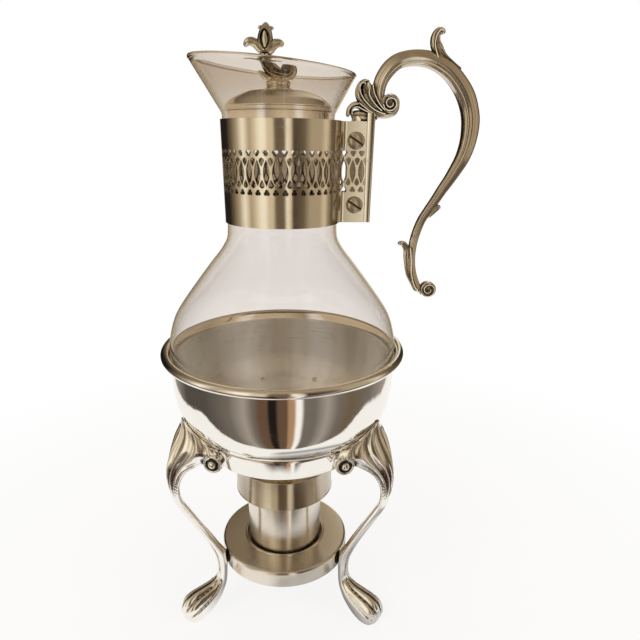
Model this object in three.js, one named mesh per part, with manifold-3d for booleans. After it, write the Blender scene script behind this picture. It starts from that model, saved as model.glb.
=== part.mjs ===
// Coffee carafe on a warming stand.
// A glass flask in a pierced and clamped neck band with a scrolled handle and a lift-off lid
// stands in a round bowl on three cabriole legs, above a spirit burner in a tray.
// Millimetres, +Z up. The handle points along +X and the pouring side along -X.

import * as THREE from 'three';
import { mergeVertices } from 'three/addons/utils/BufferGeometryUtils.js';
import Module from 'manifold-3d';

const wasm = await Module();
wasm.setup();

// Clearances and working values
const seatGap = 0.3;            // between pieces that rest on or are cut by each other
const overrun = 2;              // how far a cutter runs past what it cuts
const weldDistance = 0.0005;    // vertices nearer than this are one vertex

// Warming bowl: a spun shell with a rolled rim and a heat opening in its floor
const bowlWallRadius = 76.5;
const bowlFloorHeight = 140.9;  // underside of the floor above the ground
const bowlDepth = 59.1;         // underside of the floor to the middle of the rim
const bowlSheet = 0.8;
const heatHoleRadius = 30;
const rimRadius = 79.9;         // to the middle of the rolled rim
const rimRollRadius = 3;
const rimRollTurns = { from: -135, to: 135, step: 54 };   // degrees round the roll
const bowlWallShares = [
  [0.6, 0], [0.7, 0.018], [0.798, 0.083], [0.885, 0.19], [0.948, 0.345], [0.985, 0.58], [1, 0.945],
];

// Foot ring: the flared band under the bowl
const footRingTopRadius = 59.5;
const footRingFlare = 1.9;      // how much narrower the ring is at its foot
const footRingDrop = 11.1;      // the bowl's floor down to the ring's foot
const footRingSheet = 1;
const footRingBendShares = [0.35, 0.45];   // place of the bend across and up the ring

// Burner tray
const trayRadius = 47.1;
const trayTopHeight = 48.8;
const trayDepth = 11.8;
const traySheet = 0.9;
const trayCorner = 2.2;
const wellRadius = 28.4;
const wellLip = 0.9;            // how far the rolled edge of the well stands above the tray
const wellLipWidth = 1.8;
const wellFloorHeight = 37.4;   // underside of the well's floor

// Legs
const legCount = 3;
const firstLegAzimuth = 86;     // degrees, the back leg
const kneeOverhang = 11.4;      // how far the knee stands out from the bowl's wall
const shellRise = 21.6;         // the bowl's floor up to the top of the shell
const shellHalfWidth = 26;
const legFlutes = 5;
const fluteDepth = 1.7;
const legBackPoints = 2;
const footPadDepth = 1;         // filed off under the toes so that they stand flat
const shellBite = 2.5;          // how far the uncut shell reaches in past the foot ring's top
// Stations from the top of the shell to its foot. The columns are the outer place, as a share across
// from the tray to the knee and up to the shell's top, the inner place, as a share across from the
// foot ring to the knee and up, then the share of the full half width, the share of the depth at
// which the leg is widest, and the share of the flute depth.
const shellStationShares = [
  [0.672, 1.0, 0.405, 0.985, 0.2, 0.3, 0.2],
  [0.685, 0.975, 0.227, 0.954, 0.52, 0.1, 0.6],
  [0.725, 0.945, 0.081, 0.917, 0.83, 0.05, 0.9],
  [0.795, 0.911, 0, 0.877, 0.98, 0.05, 1],
  [0.895, 0.862, 0.004, 0.836, 0.88, 0.06, 1],
  [0.973, 0.803, 0.291, 0.794, 0.6, 0.12, 1],
];
// Stations on from there to the toes, with the inner place too as a share across from the tray.
const shaftStationShares = [
  [0.99, 0.76, 0.669, 0.772, 0.45, 0.2, 0.9],
  [0.978, 0.717, 0.768, 0.732, 0.32, 0.3, 0.7],
  [0.943, 0.671, 0.788, 0.686, 0.225, 0.4, 0.4],
  [0.884, 0.625, 0.746, 0.64, 0.17, 0.45, 0.1],
  [0.805, 0.583, 0.672, 0.601, 0.155, 0.5, 0],
  [0.33, 0.358, 0.17, 0.37, 0.155, 0.5, 0],
  [0.212, 0.277, 0, 0.285, 0.162, 0.5, 0],
  [0.193, 0.231, 0.007, 0.222, 0.17, 0.5, 0.1],
  [0.217, 0.191, 0.027, 0.157, 0.195, 0.5, 0.35],
  [0.336, 0.164, 0.114, 0.098, 0.26, 0.45, 0.75],
  [0.521, 0.151, 0.249, 0.052, 0.33, 0.4, 1],
  [0.706, 0.139, 0.435, 0.014, 0.385, 0.38, 1],
  [0.83, 0.118, 0.607, 0, 0.4, 0.38, 1],
  [0.894, 0.087, 0.743, 0.005, 0.33, 0.4, 0.7],
  [0.911, 0.058, 0.842, 0.025, 0.2, 0.45, 0.2],
];
const legSquareness = 1.75;     // 2 is an ellipse, less is more pointed

// Scroll bosses that end the shell on the foot ring
const scrollAzimuth = 13.2;     // degrees to each side of the leg
const scrollRadius = 5.6;
const scrollRise = 4.8;         // middle of a boss above the foot ring's foot
const scrollReach = 7;          // how far a boss stands out from the foot ring
const scrollShares = [[1, 0], [1, 0.7], [0.6, 0.95], [0.4, 0.75], [0, 1]];   // of radius, reach

// Rivets that hold the legs to the bowl
const rivetAzimuth = 20.5;      // degrees to each side of the leg
const rivetPlaceShare = 0.105;  // of the bowl's depth
const rivetHeadRadius = 2.3;
const rivetHeadHeight = 1.1;
const rivetCrownShare = 0.6;    // of the head's radius, where its rounded edge ends
const rivetShankRadius = 1.2;
const rivetBite = 3;            // how far the shank runs into the leg

// Spirit burner
const cupTopRadius = 27.6;
const cupBottomRadius = 26.7;
const cupHeight = 58.7;
const cupSheet = 0.8;
const guardRadius = 35.1;
const guardSkirt = 6.2;         // how far the guard hangs below the cup's rim
const guardHeight = 21;
const guardSheet = 0.9;
const guardBead = 0.4;          // how far the rolled foot of the guard stands out
const guardLip = 2.6;           // turned down inside the cup
const wickPlateDepth = 5;       // below the cup's rim
const wickPlateSkirt = 6;
const wickPlateSheet = 0.8;
const wickTubeRadius = 3.2;
const wickTubeSheet = 0.6;
const wickTubeRise = 4.5;       // above the plate
const wickTubeDrop = 9;         // below the plate
const wickTubeFlange = 2;
const wickRise = 3;             // above the tube
const wickDrop = 34;            // below the plate
const wickTipShare = 0.6;       // of the wick's radius, at its trimmed top

// Glass flask
const glassWall = 1.8;
const flaskInset = 0.3;         // how much narrower the flask is than the bowl's wall
const flaskRise = 6.2;          // the middle of the bowl's rim up to the widest place
const shoulderHeight = 72.5;    // widest place to the foot of the neck
const neckTopRadius = 34.5;      // narrower than the band, so the neck leans to the spout's side
const neckAboveBand = 3.5;
const flareHeight = 27.8;       // neck top to the middle of the mouth
const flareAngle = 28.1;        // degrees from upright
const mouthTilt = 5.4;          // degrees, high at the spout
const lipRollShare = 0.35;      // how far the fire-polished lip swells, of the wall
const flaskLowerShares = [
  [0.56, 0], [0.7, 0.055], [0.81, 0.17], [0.9, 0.34], [0.955, 0.6], [0.982, 0.82], [1, 1],
];
// from the widest place to the neck: share of the step in radius left, share of the height
const flaskUpperShares = [
  [0.965, 0.12], [0.897, 0.24], [0.81, 0.33], [0.278, 0.742], [0.16, 0.825], [0.07, 0.9],
  [0.018, 0.965],
];

// Pierced neck band, clamped round the neck by its two tabs
const bandBottomRadius = 36.3;
const bandTopRadius = 37.5;
const bandHeight = 61.6;
const bandSheet = 1;
const bandNeckPlay = 7.5;       // from the foot of the neck up to the band
const tabEnd = 52.4;            // tab ends, from the axis
const tabFillet = 3;
const galleryCells = 47;        // columns of piercings along the strip
const filletCells = 3;          // columns from a tab's end that get an extra bend line
const galleryBottomShare = 0.305;
const galleryTopShare = 0.725;
const lensHalfWidthShare = 0.33;
const lensShares = [0.27, 0.4, 0.6, 0.73];       // foot, lower side, upper side, point
const kiteHalfWidthShare = 0.27;
const lowerKiteShares = [0.17, 0.245, 0.4];
const upperKiteShares = [0.6, 0.755, 0.83];

// Handle, cast in one with its tang
const tangHalfThickness = 3.1;
const postWidth = 5;
const postHalfThickness = 4.4;
const postBevelShare = 0.35;    // of the post's width, off its outer corners
const postTaper = 1.25;         // how much narrower the post is at its foot
const postRise = 5;             // above the band
const handleReach = 61.4;       // from the tang's outer face to the middle of the bow
const handleRise = 147.7;       // from the middle of the tail to the middle of the bow's top
const handleFlatnessShare = 1.12;   // depth of the section across the handle, of its width
// radial shares of the section: a raised rib between two hollows on each broad side
const handleSectionShares = [1, 1, 0.88, 1, 0.88, 1, 1, 1, 0.88, 1, 0.88, 1];
// Places as shares of the reach, from the tang, and of the rise, from the band's top.
// The third number is half the width there, as a share of the reach.
const bowShares = [
  [0.02, 0.113, 0.085], [0.05, 0.156, 0.084], [0.122, 0.207, 0.075], [0.204, 0.234, 0.074],
  [0.3, 0.246, 0.075], [0.409, 0.25, 0.077], [0.516, 0.245, 0.08], [0.625, 0.229, 0.082],
  [0.736, 0.201, 0.086], [0.84, 0.157, 0.09], [0.919, 0.109, 0.094], [0.969, 0.052, 0.098],
  [0.989, 0, 0.095], [0.989, -0.056, 0.088], [0.966, -0.106, 0.083], [0.912, -0.159, 0.078],
  [0.844, -0.212, 0.075], [0.776, -0.261, 0.07], [0.702, -0.313, 0.066], [0.627, -0.363, 0.067],
  [0.565, -0.408, 0.062], [0.514, -0.456, 0.058], [0.478, -0.506, 0.056], [0.459, -0.56, 0.06],
  [0.45, -0.612, 0.066], [0.47, -0.672, 0.065], [0.52, -0.722, 0.062],
];
const tailScrollShares = [
  [0.52, -0.722, 0.06], [0.57, -0.748, 0.054], [0.635, -0.763, 0.046], [0.705, -0.76, 0.038],
  [0.745, -0.736, 0.032], [0.715, -0.713, 0.027], [0.665, -0.717, 0.023], [0.662, -0.734, 0.018],
];
const baseVoluteShares = [
  [0.02, 0.113, 0.088], [0.03, 0.075, 0.082], [0.055, 0.045, 0.07], [0.11, 0.026, 0.058],
  [0.18, 0.03, 0.046], [0.225, 0.058, 0.036], [0.2, 0.088, 0.03], [0.145, 0.084, 0.024],
  [0.135, 0.062, 0.018],
];
const backScrollShares = [
  [0.08, 0.025, 0.05], [-0.03, 0.045, 0.056], [-0.115, 0.078, 0.052], [-0.152, 0.115, 0.04],
  [-0.118, 0.14, 0.031], [-0.07, 0.133, 0.026], [-0.083, 0.113, 0.018],
];
const footScrollShares = [
  [0.05, 0.02, 0.045], [-0.08, 0.04, 0.042], [-0.19, 0.056, 0.034], [-0.255, 0.04, 0.028],
  [-0.262, 0.014, 0.025], [-0.22, 0.012, 0.018],
];
const thumbLeafShares = [
  [0.85, 0.182, 0.018], [0.73, 0.22, 0.044], [0.625, 0.256, 0.062], [0.562, 0.302, 0.056],
  [0.575, 0.346, 0.042], [0.625, 0.352, 0.03], [0.645, 0.33, 0.016],
];
const nubShares = [[0.64, -0.39, 0.04], [0.705, -0.362, 0.034], [0.765, -0.359, 0.012]];
const tailLeafShares = [
  [0.44, -0.62, 0.036], [0.415, -0.566, 0.04], [0.375, -0.53, 0.034], [0.32, -0.518, 0.022],
  [0.288, -0.522, 0.01],
];

// Clamp screws and nuts
const screwInset = 6.5;         // from the tab's end
const screwUpperShare = 0.815;  // of the band's height
const screwLowerShare = 0.18;
const screwRadius = 2;
const screwHeadRadius = 5.3;
const screwHeadHeight = 2.8;
const slotWidth = 1;
const slotDepth = 1.1;
const slotTurn = 30;            // degrees
const nutWidth = 8;             // across flats
const nutHeight = 3.2;
const screwTail = 1;            // past the nut
// crown of a screw's head, as shares of its radius and height
const screwCrownShares = [[1, 0], [1, 0.45], [0.8, 0.85], [0.4, 1]];

// Lid
const lidOverhang = 0.2;        // how far the lid's rim reaches past the neck's bore
const lidSideHeight = 3.2;
const lidDomeHeight = 9.3;
const lidSheet = 0.8;
const lidSkirtDepth = 11;
const lidSkirtShare = 0.6;      // of the lid's side height, up which the skirt runs
const lidDomeShares = [
  [0.99, 0], [0.95, 0.155], [0.88, 0.38], [0.75, 0.628], [0.55, 0.897], [0.3, 0.975],
];

// Finial
const ferruleRadius = 7.4;
const ferruleHeight = 5.4;
const ferruleShares = [[1.08, 0], [1.12, 0.18], [0.96, 0.34], [0.9, 0.62], [1, 0.86], [0.94, 1]];
const finialHeight = 32.3;
const finialHalfWidth = 12.5;
const finialFlatnessShare = 0.72;
const finialSpigotRadius = 2.6;
// Places as shares of the finial's half width, from the lid's axis, and of its height.
// The third number is half the thickness there, as a share of the half width.
const finialStemShares = [
  [0.1, -0.02, 0.36], [-0.2, 0.09, 0.36], [-0.45, 0.2, 0.34], [-0.65, 0.33, 0.3],
  [-0.62, 0.46, 0.27],
];
const finialVoluteShares = [
  [-0.3, 0.1, 0.26], [0.06, 0.075, 0.25], [0.36, 0.085, 0.22], [0.6, 0.14, 0.18],
  [0.6, 0.215, 0.16], [0.43, 0.25, 0.13], [0.28, 0.215, 0.1],
];
const finialLeafShares = [[-0.35, 0.1, 0.22], [-0.7, 0.115, 0.15], [-0.98, 0.13, 0.05]];
const finialBudShares = [
  [-0.6, 0.44, 0.24], [-0.59, 0.55, 0.34], [-0.57, 0.68, 0.39], [-0.55, 0.78, 0.35],
  [-0.54, 0.88, 0.24], [-0.56, 0.96, 0.05],
];
const petalShares = [
  [0, 0.43, 0.17], [0.28, 0.555, 0.2], [0.54, 0.625, 0.19], [0.79, 0.6, 0.16], [0.88, 0.535, 0.09],
];
const finialLeanShare = -0.6;   // the flower's axis, as a share of the half width
const finialScrewRadius = 1.6;
const finialScrewHeadRadius = 4;
const finialScrewHeadHeight = 1.6;
const finialScrewBite = 2.25;
const finialSpigotHeight = 4.5;
const finialScrewCrownShares = [[0.8, 0], [1, 0.4]];

// Fineness of round pieces
const bowlFacets = 28;
const neckFacets = 24;
const trayFacets = 24;
const burnerFacets = 20;
const smallFacets = 12;
const rivetFacets = 6;
const shankFacets = 8;
const scrollFacets = 8;
const hornSides = 6;
const hornFineness = 1.2;       // rings for each row of a horn's table

// Places worked out from the sizes
const rimHeight = bowlFloorHeight + bowlDepth;
const footRingBottomRadius = footRingTopRadius - footRingFlare;
const footRingBottomHeight = bowlFloorHeight - footRingDrop;
const scrollHeight = footRingBottomHeight + scrollRise;
const shellTopHeight = bowlFloorHeight + shellRise;
const kneeRadius = bowlWallRadius + kneeOverhang;
const flaskBottom = bowlFloorHeight + bowlSheet + seatGap;
const flaskWidest = rimHeight + flaskRise;
const flaskHeight = flaskWidest - flaskBottom;
const flaskRadius = bowlWallRadius - flaskInset;
const neckFoot = flaskWidest + shoulderHeight;
const bandBottom = neckFoot + bandNeckPlay;
const bandTop = bandBottom + bandHeight;
const neckTop = bandTop + neckAboveBand;
const neckFootRadius = bandBottomRadius - bandSheet - seatGap;
const neckPlay = bandTopRadius - bandSheet - seatGap - neckTopRadius;
const tabMiddle = tangHalfThickness + seatGap + bandSheet / 2;
const tangFace = tabEnd + seatGap;
const tangOuter = tangFace + postWidth;
const screwAcross = tabEnd - screwInset;
const screwHeights = [
  bandBottom + bandHeight * screwUpperShare,
  bandBottom + bandHeight * screwLowerShare,
];
const cupBottom = wellFloorHeight + traySheet + seatGap;
const cupTop = cupBottom + cupHeight;
const wickPlateTop = cupTop - wickPlateDepth;
const flareCos = Math.cos(THREE.MathUtils.degToRad(flareAngle));
const flareTan = Math.tan(THREE.MathUtils.degToRad(flareAngle));
const lidRadius = neckTopRadius - glassWall + lidOverhang;
const lidRim = neckTop + (lidOverhang + (seatGap + glassWall) / flareCos - glassWall) / flareTan;
const lidShift = neckLean(lidRim);
const lidShoulder = lidRim + lidSideHeight;
const lidTop = lidShoulder + lidDomeHeight;
const ferruleFoot = lidTop + seatGap;
const finialFoot = ferruleFoot + ferruleHeight + seatGap;

const radians = THREE.MathUtils.degToRad;
const mix = THREE.MathUtils.lerp;

// How far the leaning neck stands towards the spout's side at a height: up to the band at its top.
function neckLean(height) {
  return (neckPlay * (height - bandBottom)) / bandHeight;
}

const roundSection = Array.from({ length: hornSides }, () => 1);

// Finishes
const silver = { color: 0xb9ad98, roughness: 0.22, metalness: 1 };
const brightSilver = { color: 0xcfc8bb, roughness: 0.14, metalness: 1 };
const satinSilver = { color: 0xaf9f87, roughness: 0.34, metalness: 1 };
const clearGlass = { color: 0xeee6da, roughness: 0.05, metalness: 0, transparent: true, opacity: 0.35 };
const brass = { color: 0xb08d4c, roughness: 0.4, metalness: 1 };
const cotton = { color: 0xe8e0cc, roughness: 0.95, metalness: 0 };

// Geometry helpers

// Keeps positions only, welds equal vertices, drops empty triangles and turns the faces outwards.
function closed(geometry) {
  const bare = new THREE.BufferGeometry();
  bare.setAttribute('position', geometry.getAttribute('position').clone());
  if (geometry.index) bare.setIndex(geometry.index.clone());
  const welded = mergeVertices(bare, weldDistance);
  const place = welded.getAttribute('position');
  const old = welded.index.array;
  const kept = [];
  const [a, b, c] = [new THREE.Vector3(), new THREE.Vector3(), new THREE.Vector3()];
  let volume = 0;
  for (let i = 0; i < old.length; i += 3) {
    const [p, q, r] = [old[i], old[i + 1], old[i + 2]];
    if (p === q || q === r || r === p) continue;
    a.fromBufferAttribute(place, p);
    b.fromBufferAttribute(place, q);
    c.fromBufferAttribute(place, r);
    volume += a.dot(b.cross(c));
    kept.push(p, q, r);
  }
  if (volume < 0) {
    for (let i = 0; i < kept.length; i += 3) [kept[i + 1], kept[i + 2]] = [kept[i + 2], kept[i + 1]];
  }
  welded.setIndex(kept);
  return welded;
}

function solidOf(geometry) {
  const body = closed(geometry);
  return new wasm.Manifold(new wasm.Mesh({
    numProp: 3,
    vertProperties: new Float32Array(body.getAttribute('position').array),
    triVerts: new Uint32Array(body.index.array),
  }));
}

function geometryOf(solid) {
  const mesh = solid.getMesh();
  const geometry = new THREE.BufferGeometry();
  const places = [];
  for (let i = 0; i < mesh.vertProperties.length; i += mesh.numProp) {
    places.push(mesh.vertProperties[i], mesh.vertProperties[i + 1], mesh.vertProperties[i + 2]);
  }
  geometry.setAttribute('position', new THREE.Float32BufferAttribute(places, 3));
  geometry.setIndex(Array.from(mesh.triVerts));
  return geometry;
}

function joined(geometries) {
  return geometryOf(geometries.map(solidOf).reduce((all, one) => all.add(one)));
}

function cutBy(geometry, cutters) {
  return geometryOf(cutters.map(solidOf).reduce((left, one) => left.subtract(one), solidOf(geometry)));
}

// A solid of revolution about Z from [radius, height] points.
function revolved(points, facets) {
  const profile = points.map(([r, z]) => new THREE.Vector2(Math.max(r, 0), z));
  return new THREE.LatheGeometry(profile, facets).rotateX(Math.PI / 2);
}

function closedProfile(points) {
  return [...points, points[0]];
}

// The line at a distance to the left of a line of [radius, height] points.
function offsetLine(points, distance) {
  return points.map(([r, z], i) => {
    const before = points[Math.max(i - 1, 0)];
    const after = points[Math.min(i + 1, points.length - 1)];
    const along = new THREE.Vector2(after[0] - before[0], after[1] - before[1]).normalize();
    return [r - along.y * distance, z + along.x * distance];
  });
}

// Height on a rising line of [radius, height] points at a radius.
function heightAt(line, radius) {
  const next = line.findIndex(([r]) => r > radius);
  const [[r0, z0], [r1, z1]] = [line[next - 1], line[next]];
  return mix(z0, z1, (radius - r0) / (r1 - r0));
}

// A closed body through rings of points, its two ends closed by fans.
function lofted(rings) {
  const around = rings[0].length;
  const places = [];
  const faces = [];
  rings.flat().forEach((p) => places.push(p.x, p.y, p.z));
  for (let i = 0; i < rings.length - 1; i += 1) {
    for (let j = 0; j < around; j += 1) {
      const k = (j + 1) % around;
      const [a, b] = [i * around + j, i * around + k];
      faces.push(a, b, b + around, a, b + around, a + around);
    }
  }
  [0, rings.length - 1].forEach((end) => {
    const middle = new THREE.Vector3();
    rings[end].forEach((p) => middle.add(p));
    middle.divideScalar(around);
    const hub = places.length / 3;
    places.push(middle.x, middle.y, middle.z);
    for (let j = 0; j < around; j += 1) {
      const [a, b] = [end * around + j, end * around + (j + 1) % around];
      faces.push(...(end === 0 ? [hub, b, a] : [hub, a, b]));
    }
  });
  const geometry = new THREE.BufferGeometry();
  geometry.setAttribute('position', new THREE.Float32BufferAttribute(places, 3));
  geometry.setIndex(faces);
  return geometry;
}

// A horn along a curve in the XZ plane. Each row is [x, z, half width]; the section's radial
// shares run round from the outer side, and flatness is its depth along Y over its width.
function horn(rows, sectionShares, flatness) {
  const places = rows.map(([x, z]) => new THREE.Vector3(x, 0, z));
  const path = new THREE.CatmullRomCurve3(places, false, 'centripetal');
  const steps = Math.ceil((rows.length - 1) * hornFineness);
  const sizes = new THREE.SplineCurve(rows.map(([, , half], i) => new THREE.Vector2(i, half)));
  const across = new THREE.Vector3(0, 1, 0);
  const rings = [];
  for (let i = 0; i <= steps; i += 1) {
    const t = i / steps;
    const centre = path.getPoint(t);
    const outward = across.clone().cross(path.getTangent(t));
    const half = sizes.getPoint(t).y;
    rings.push(sectionShares.map((share, j) => {
      const turn = (2 * Math.PI * j) / sectionShares.length;
      return centre.clone()
        .addScaledVector(outward, half * share * Math.cos(turn))
        .addScaledVector(across, half * share * flatness * Math.sin(turn));
    }));
  }
  return lofted(rings);
}

function cylinder(radius, from, to, facets) {
  return revolved([[0, from], [radius, from], [radius, to], [0, to]], facets);
}

// Turns a shape built along +Z so that it lies along +Y at a place on the clamp.
function alongY(geometry, x, z) {
  return geometry.rotateX(-Math.PI / 2).translate(x, 0, z);
}

function piece(name, geometry, finish) {
  const mesh = new THREE.Mesh(closed(geometry), new THREE.MeshStandardMaterial(finish));
  mesh.name = name;
  return mesh;
}

// Warming stand

function bowlOutline() {
  return bowlWallShares.map(([r, z]) => [r * bowlWallRadius, bowlFloorHeight + z * bowlDepth]);
}

function rivetSeat() {
  const line = bowlOutline();
  const height = bowlFloorHeight + rivetPlaceShare * bowlDepth;
  const radius = heightAt(line.map(([r, z]) => [z, r]), height);
  const rise = heightAt(line, radius + overrun) - height;
  return { radius, height, tilt: Math.atan2(rise, -overrun) };
}

// Places a shape built along +Z on the bowl's wall, square to it and pointing out of the bowl.
function onBowlWall(geometry, azimuth) {
  const seat = rivetSeat();
  return geometry
    .rotateY(seat.tilt)
    .translate(seat.radius, 0, seat.height)
    .rotateZ(radians(azimuth));
}

function rivetShapes() {
  const start = -bowlSheet - 2 * seatGap;
  const rivet = [
    [0, start - rivetHeadHeight], [rivetHeadRadius * rivetCrownShare, start - rivetHeadHeight],
    [rivetHeadRadius, start],
    [rivetShankRadius, start], [rivetShankRadius, rivetBite], [0, rivetBite],
  ];
  return {
    rivet: revolved(rivet, rivetFacets),
    hole: cylinder(rivetShankRadius + seatGap, start - overrun, rivetBite + seatGap, rivetFacets),
  };
}

function legAzimuths() {
  return Array.from({ length: legCount }, (_, i) => firstLegAzimuth + (360 * i) / legCount);
}

function bowl() {
  const wall = bowlOutline();
  const outer = [[heatHoleRadius, bowlFloorHeight], ...wall];
  const inner = offsetLine(outer, bowlSheet);
  inner[0][0] = heatHoleRadius;
  const roll = [];
  for (let turn = rimRollTurns.from; turn <= rimRollTurns.to; turn += rimRollTurns.step) {
    roll.push([
      rimRadius + rimRollRadius * Math.cos(radians(turn)),
      rimHeight + rimRollRadius * Math.sin(radians(turn)),
    ]);
  }
  const shell = revolved(closedProfile([...outer, ...roll, ...inner.reverse()]), bowlFacets);
  const holes = legAzimuths().flatMap((azimuth) => [-1, 1].map((side) => (
    onBowlWall(rivetShapes().hole, azimuth + side * rivetAzimuth)
  )));
  return cutBy(shell, holes);
}

function footRing() {
  const top = heightAt(bowlOutline(), footRingTopRadius - footRingSheet) - seatGap;
  const [across, up] = footRingBendShares;
  const outer = [
    [footRingBottomRadius, footRingBottomHeight],
    [mix(footRingBottomRadius, footRingTopRadius, across), mix(footRingBottomHeight, top, up)],
    [footRingTopRadius, top],
  ];
  return revolved(closedProfile([...outer, ...offsetLine(outer, footRingSheet).reverse()]), bowlFacets);
}

function tray() {
  const underside = trayTopHeight - trayDepth;
  const cornerMiddle = trayCorner * (1 - Math.SQRT1_2);
  const outer = [
    [trayRadius, underside],
    [trayRadius, trayTopHeight - trayCorner],
    [trayRadius - cornerMiddle, trayTopHeight - cornerMiddle],
    [trayRadius - trayCorner, trayTopHeight],
    [wellRadius + wellLipWidth, trayTopHeight],
    [wellRadius + wellLipWidth / 2, trayTopHeight + wellLip],
    [wellRadius, trayTopHeight],
    [wellRadius, wellFloorHeight + traySheet],
    [0, wellFloorHeight + traySheet],
  ];
  const inner = [
    [0, wellFloorHeight],
    [wellRadius + traySheet, wellFloorHeight],
    [wellRadius + traySheet, trayTopHeight - traySheet],
    [trayRadius - trayCorner, trayTopHeight - traySheet],
    [trayRadius - traySheet, trayTopHeight - trayCorner],
    [trayRadius - traySheet, underside],
  ];
  return revolved([...inner, ...outer], trayFacets);
}

// One ring of a leg: a rounded section with flutes on its outer side.
function legRing([outR, outZ, inR, inZ, widthShare, belly, fluteShare], innermost) {
  const place = (inside, across, up) => (
    new THREE.Vector3(mix(inside, kneeRadius, across), 0, mix(-footPadDepth, shellTopHeight, up))
  );
  const outer = place(trayRadius + seatGap, outR, outZ);
  const inner = place(innermost, inR, inZ);
  const depth = outer.distanceTo(inner);
  const half = widthShare * shellHalfWidth;
  const bulge = (u) => (1 - Math.abs(u) ** legSquareness) ** (1 / legSquareness);
  const frontPoints = 2 * legFlutes + 1;
  const ring = [];
  for (let i = 0; i < frontPoints; i += 1) {
    const turn = Math.PI * (i / (frontPoints - 1) - 0.5);
    const u = Math.sin(turn);
    const groove = i % 2 === 1 ? fluteDepth * fluteShare : 0;
    const share = belly + (1 - belly) * bulge(u) - groove / depth;
    ring.push(inner.clone().lerp(outer, share).setY(u * half));
  }
  for (let i = 1; i <= legBackPoints; i += 1) {
    const u = 1 - (2 * i) / (legBackPoints + 1);
    ring.push(inner.clone().lerp(outer, belly - belly * bulge(u)).setY(u * half));
  }
  return ring;
}

// The space that the bowl, foot ring and tray take, with the seat gap round it, and the ground.
function standSpaces() {
  const bowlSide = offsetLine(bowlOutline(), -seatGap);
  const ringTop = heightAt(bowlOutline(), footRingTopRadius);
  return [
    cylinder(bowlWallRadius + shellHalfWidth, -footPadDepth - overrun, 0, smallFacets),
    revolved([[0, bowlSide[0][1]], ...bowlSide, [0, bowlSide.at(-1)[1]]], bowlFacets),
    revolved([
      [0, footRingBottomHeight - seatGap],
      [footRingBottomRadius + seatGap, footRingBottomHeight - seatGap],
      [footRingTopRadius + seatGap, ringTop], [0, ringTop],
    ], bowlFacets),
    cylinder(trayRadius + seatGap, trayTopHeight - trayDepth - overrun, trayTopHeight, trayFacets),
  ];
}

function leg(azimuth) {
  const body = lofted([
    ...shellStationShares.map((row) => legRing(row, footRingTopRadius - shellBite)),
    ...shaftStationShares.map((row) => legRing(row, trayRadius + seatGap)),
  ]);
  const boss = [[0, 0], ...scrollShares.map(([r, z]) => [r * scrollRadius, z * scrollReach])];
  const bosses = [-1, 1].map((side) => (
    revolved(boss, scrollFacets)
      .rotateY(Math.PI / 2)
      .translate(footRingBottomRadius, 0, scrollHeight)
      .rotateZ(radians(side * scrollAzimuth))
  ));
  const rivetHoles = [-1, 1].map((side) => (
    onBowlWall(rivetShapes().hole, azimuth + side * rivetAzimuth)
  ));
  const cast = joined([body, ...bosses]).rotateZ(radians(azimuth));
  return cutBy(cast, [...standSpaces(), ...rivetHoles]);
}

// Spirit burner

function cupRadiusAt(height) {
  return mix(cupBottomRadius, cupTopRadius, (height - cupBottom) / cupHeight);
}

function burnerCup() {
  const corner = cupSheet * 2;
  const outer = [
    [0, cupBottom], [cupBottomRadius - corner, cupBottom], [cupBottomRadius, cupBottom + corner],
    [cupTopRadius, cupTop],
  ];
  const inner = [
    [cupTopRadius - cupSheet, cupTop], [cupBottomRadius - cupSheet, cupBottom + corner],
    [cupBottomRadius - corner, cupBottom + cupSheet], [0, cupBottom + cupSheet],
  ];
  return revolved([...outer, ...inner], burnerFacets);
}

function burnerGuard() {
  const webBottom = cupTop + seatGap;
  const webTop = webBottom + guardSheet;
  const lipOuter = cupTopRadius - cupSheet - seatGap;
  const foot = cupTop - guardSkirt;
  const inside = guardRadius - guardSheet;
  return revolved(closedProfile([
    [inside, foot], [guardRadius + guardBead, foot], [guardRadius, foot + guardSheet],
    [guardRadius, foot + guardHeight], [inside, foot + guardHeight], [inside, webTop],
    [lipOuter - guardSheet, webTop], [lipOuter - guardSheet, webBottom - guardLip],
    [lipOuter, webBottom - guardLip], [lipOuter, webBottom], [inside, webBottom],
  ]), burnerFacets);
}

function wickPlate() {
  const rim = cupRadiusAt(wickPlateTop - wickPlateSkirt) - cupSheet - seatGap;
  const hole = wickTubeRadius + seatGap;
  const under = wickPlateTop - wickPlateSheet;
  return revolved(closedProfile([
    [hole, under], [rim - wickPlateSheet, under], [rim - wickPlateSheet, wickPlateTop - wickPlateSkirt],
    [rim, wickPlateTop - wickPlateSkirt], [rim, wickPlateTop], [hole, wickPlateTop],
  ]), burnerFacets);
}

function wickTube() {
  const bore = wickTubeRadius - wickTubeSheet;
  const flange = wickPlateTop + seatGap;
  return revolved(closedProfile([
    [bore, wickPlateTop - wickTubeDrop], [wickTubeRadius, wickPlateTop - wickTubeDrop],
    [wickTubeRadius, flange], [wickTubeRadius + wickTubeFlange, flange],
    [wickTubeRadius + wickTubeFlange, flange + wickTubeSheet],
    [wickTubeRadius, flange + wickTubeSheet], [wickTubeRadius, wickPlateTop + wickTubeRise],
    [bore, wickPlateTop + wickTubeRise],
  ]), smallFacets);
}

function wick() {
  const radius = wickTubeRadius - wickTubeSheet - seatGap;
  const top = wickPlateTop + wickTubeRise + wickRise;
  return revolved([
    [0, wickPlateTop - wickDrop], [radius, wickPlateTop - wickDrop], [radius, top - radius / 2],
    [radius * wickTipShare, top], [0, top],
  ], smallFacets);
}

// Carafe

// Radius of the flare's outer side at a height.
function flareRadius(height) {
  return neckTopRadius + (height - neckTop) * flareTan;
}

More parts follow.
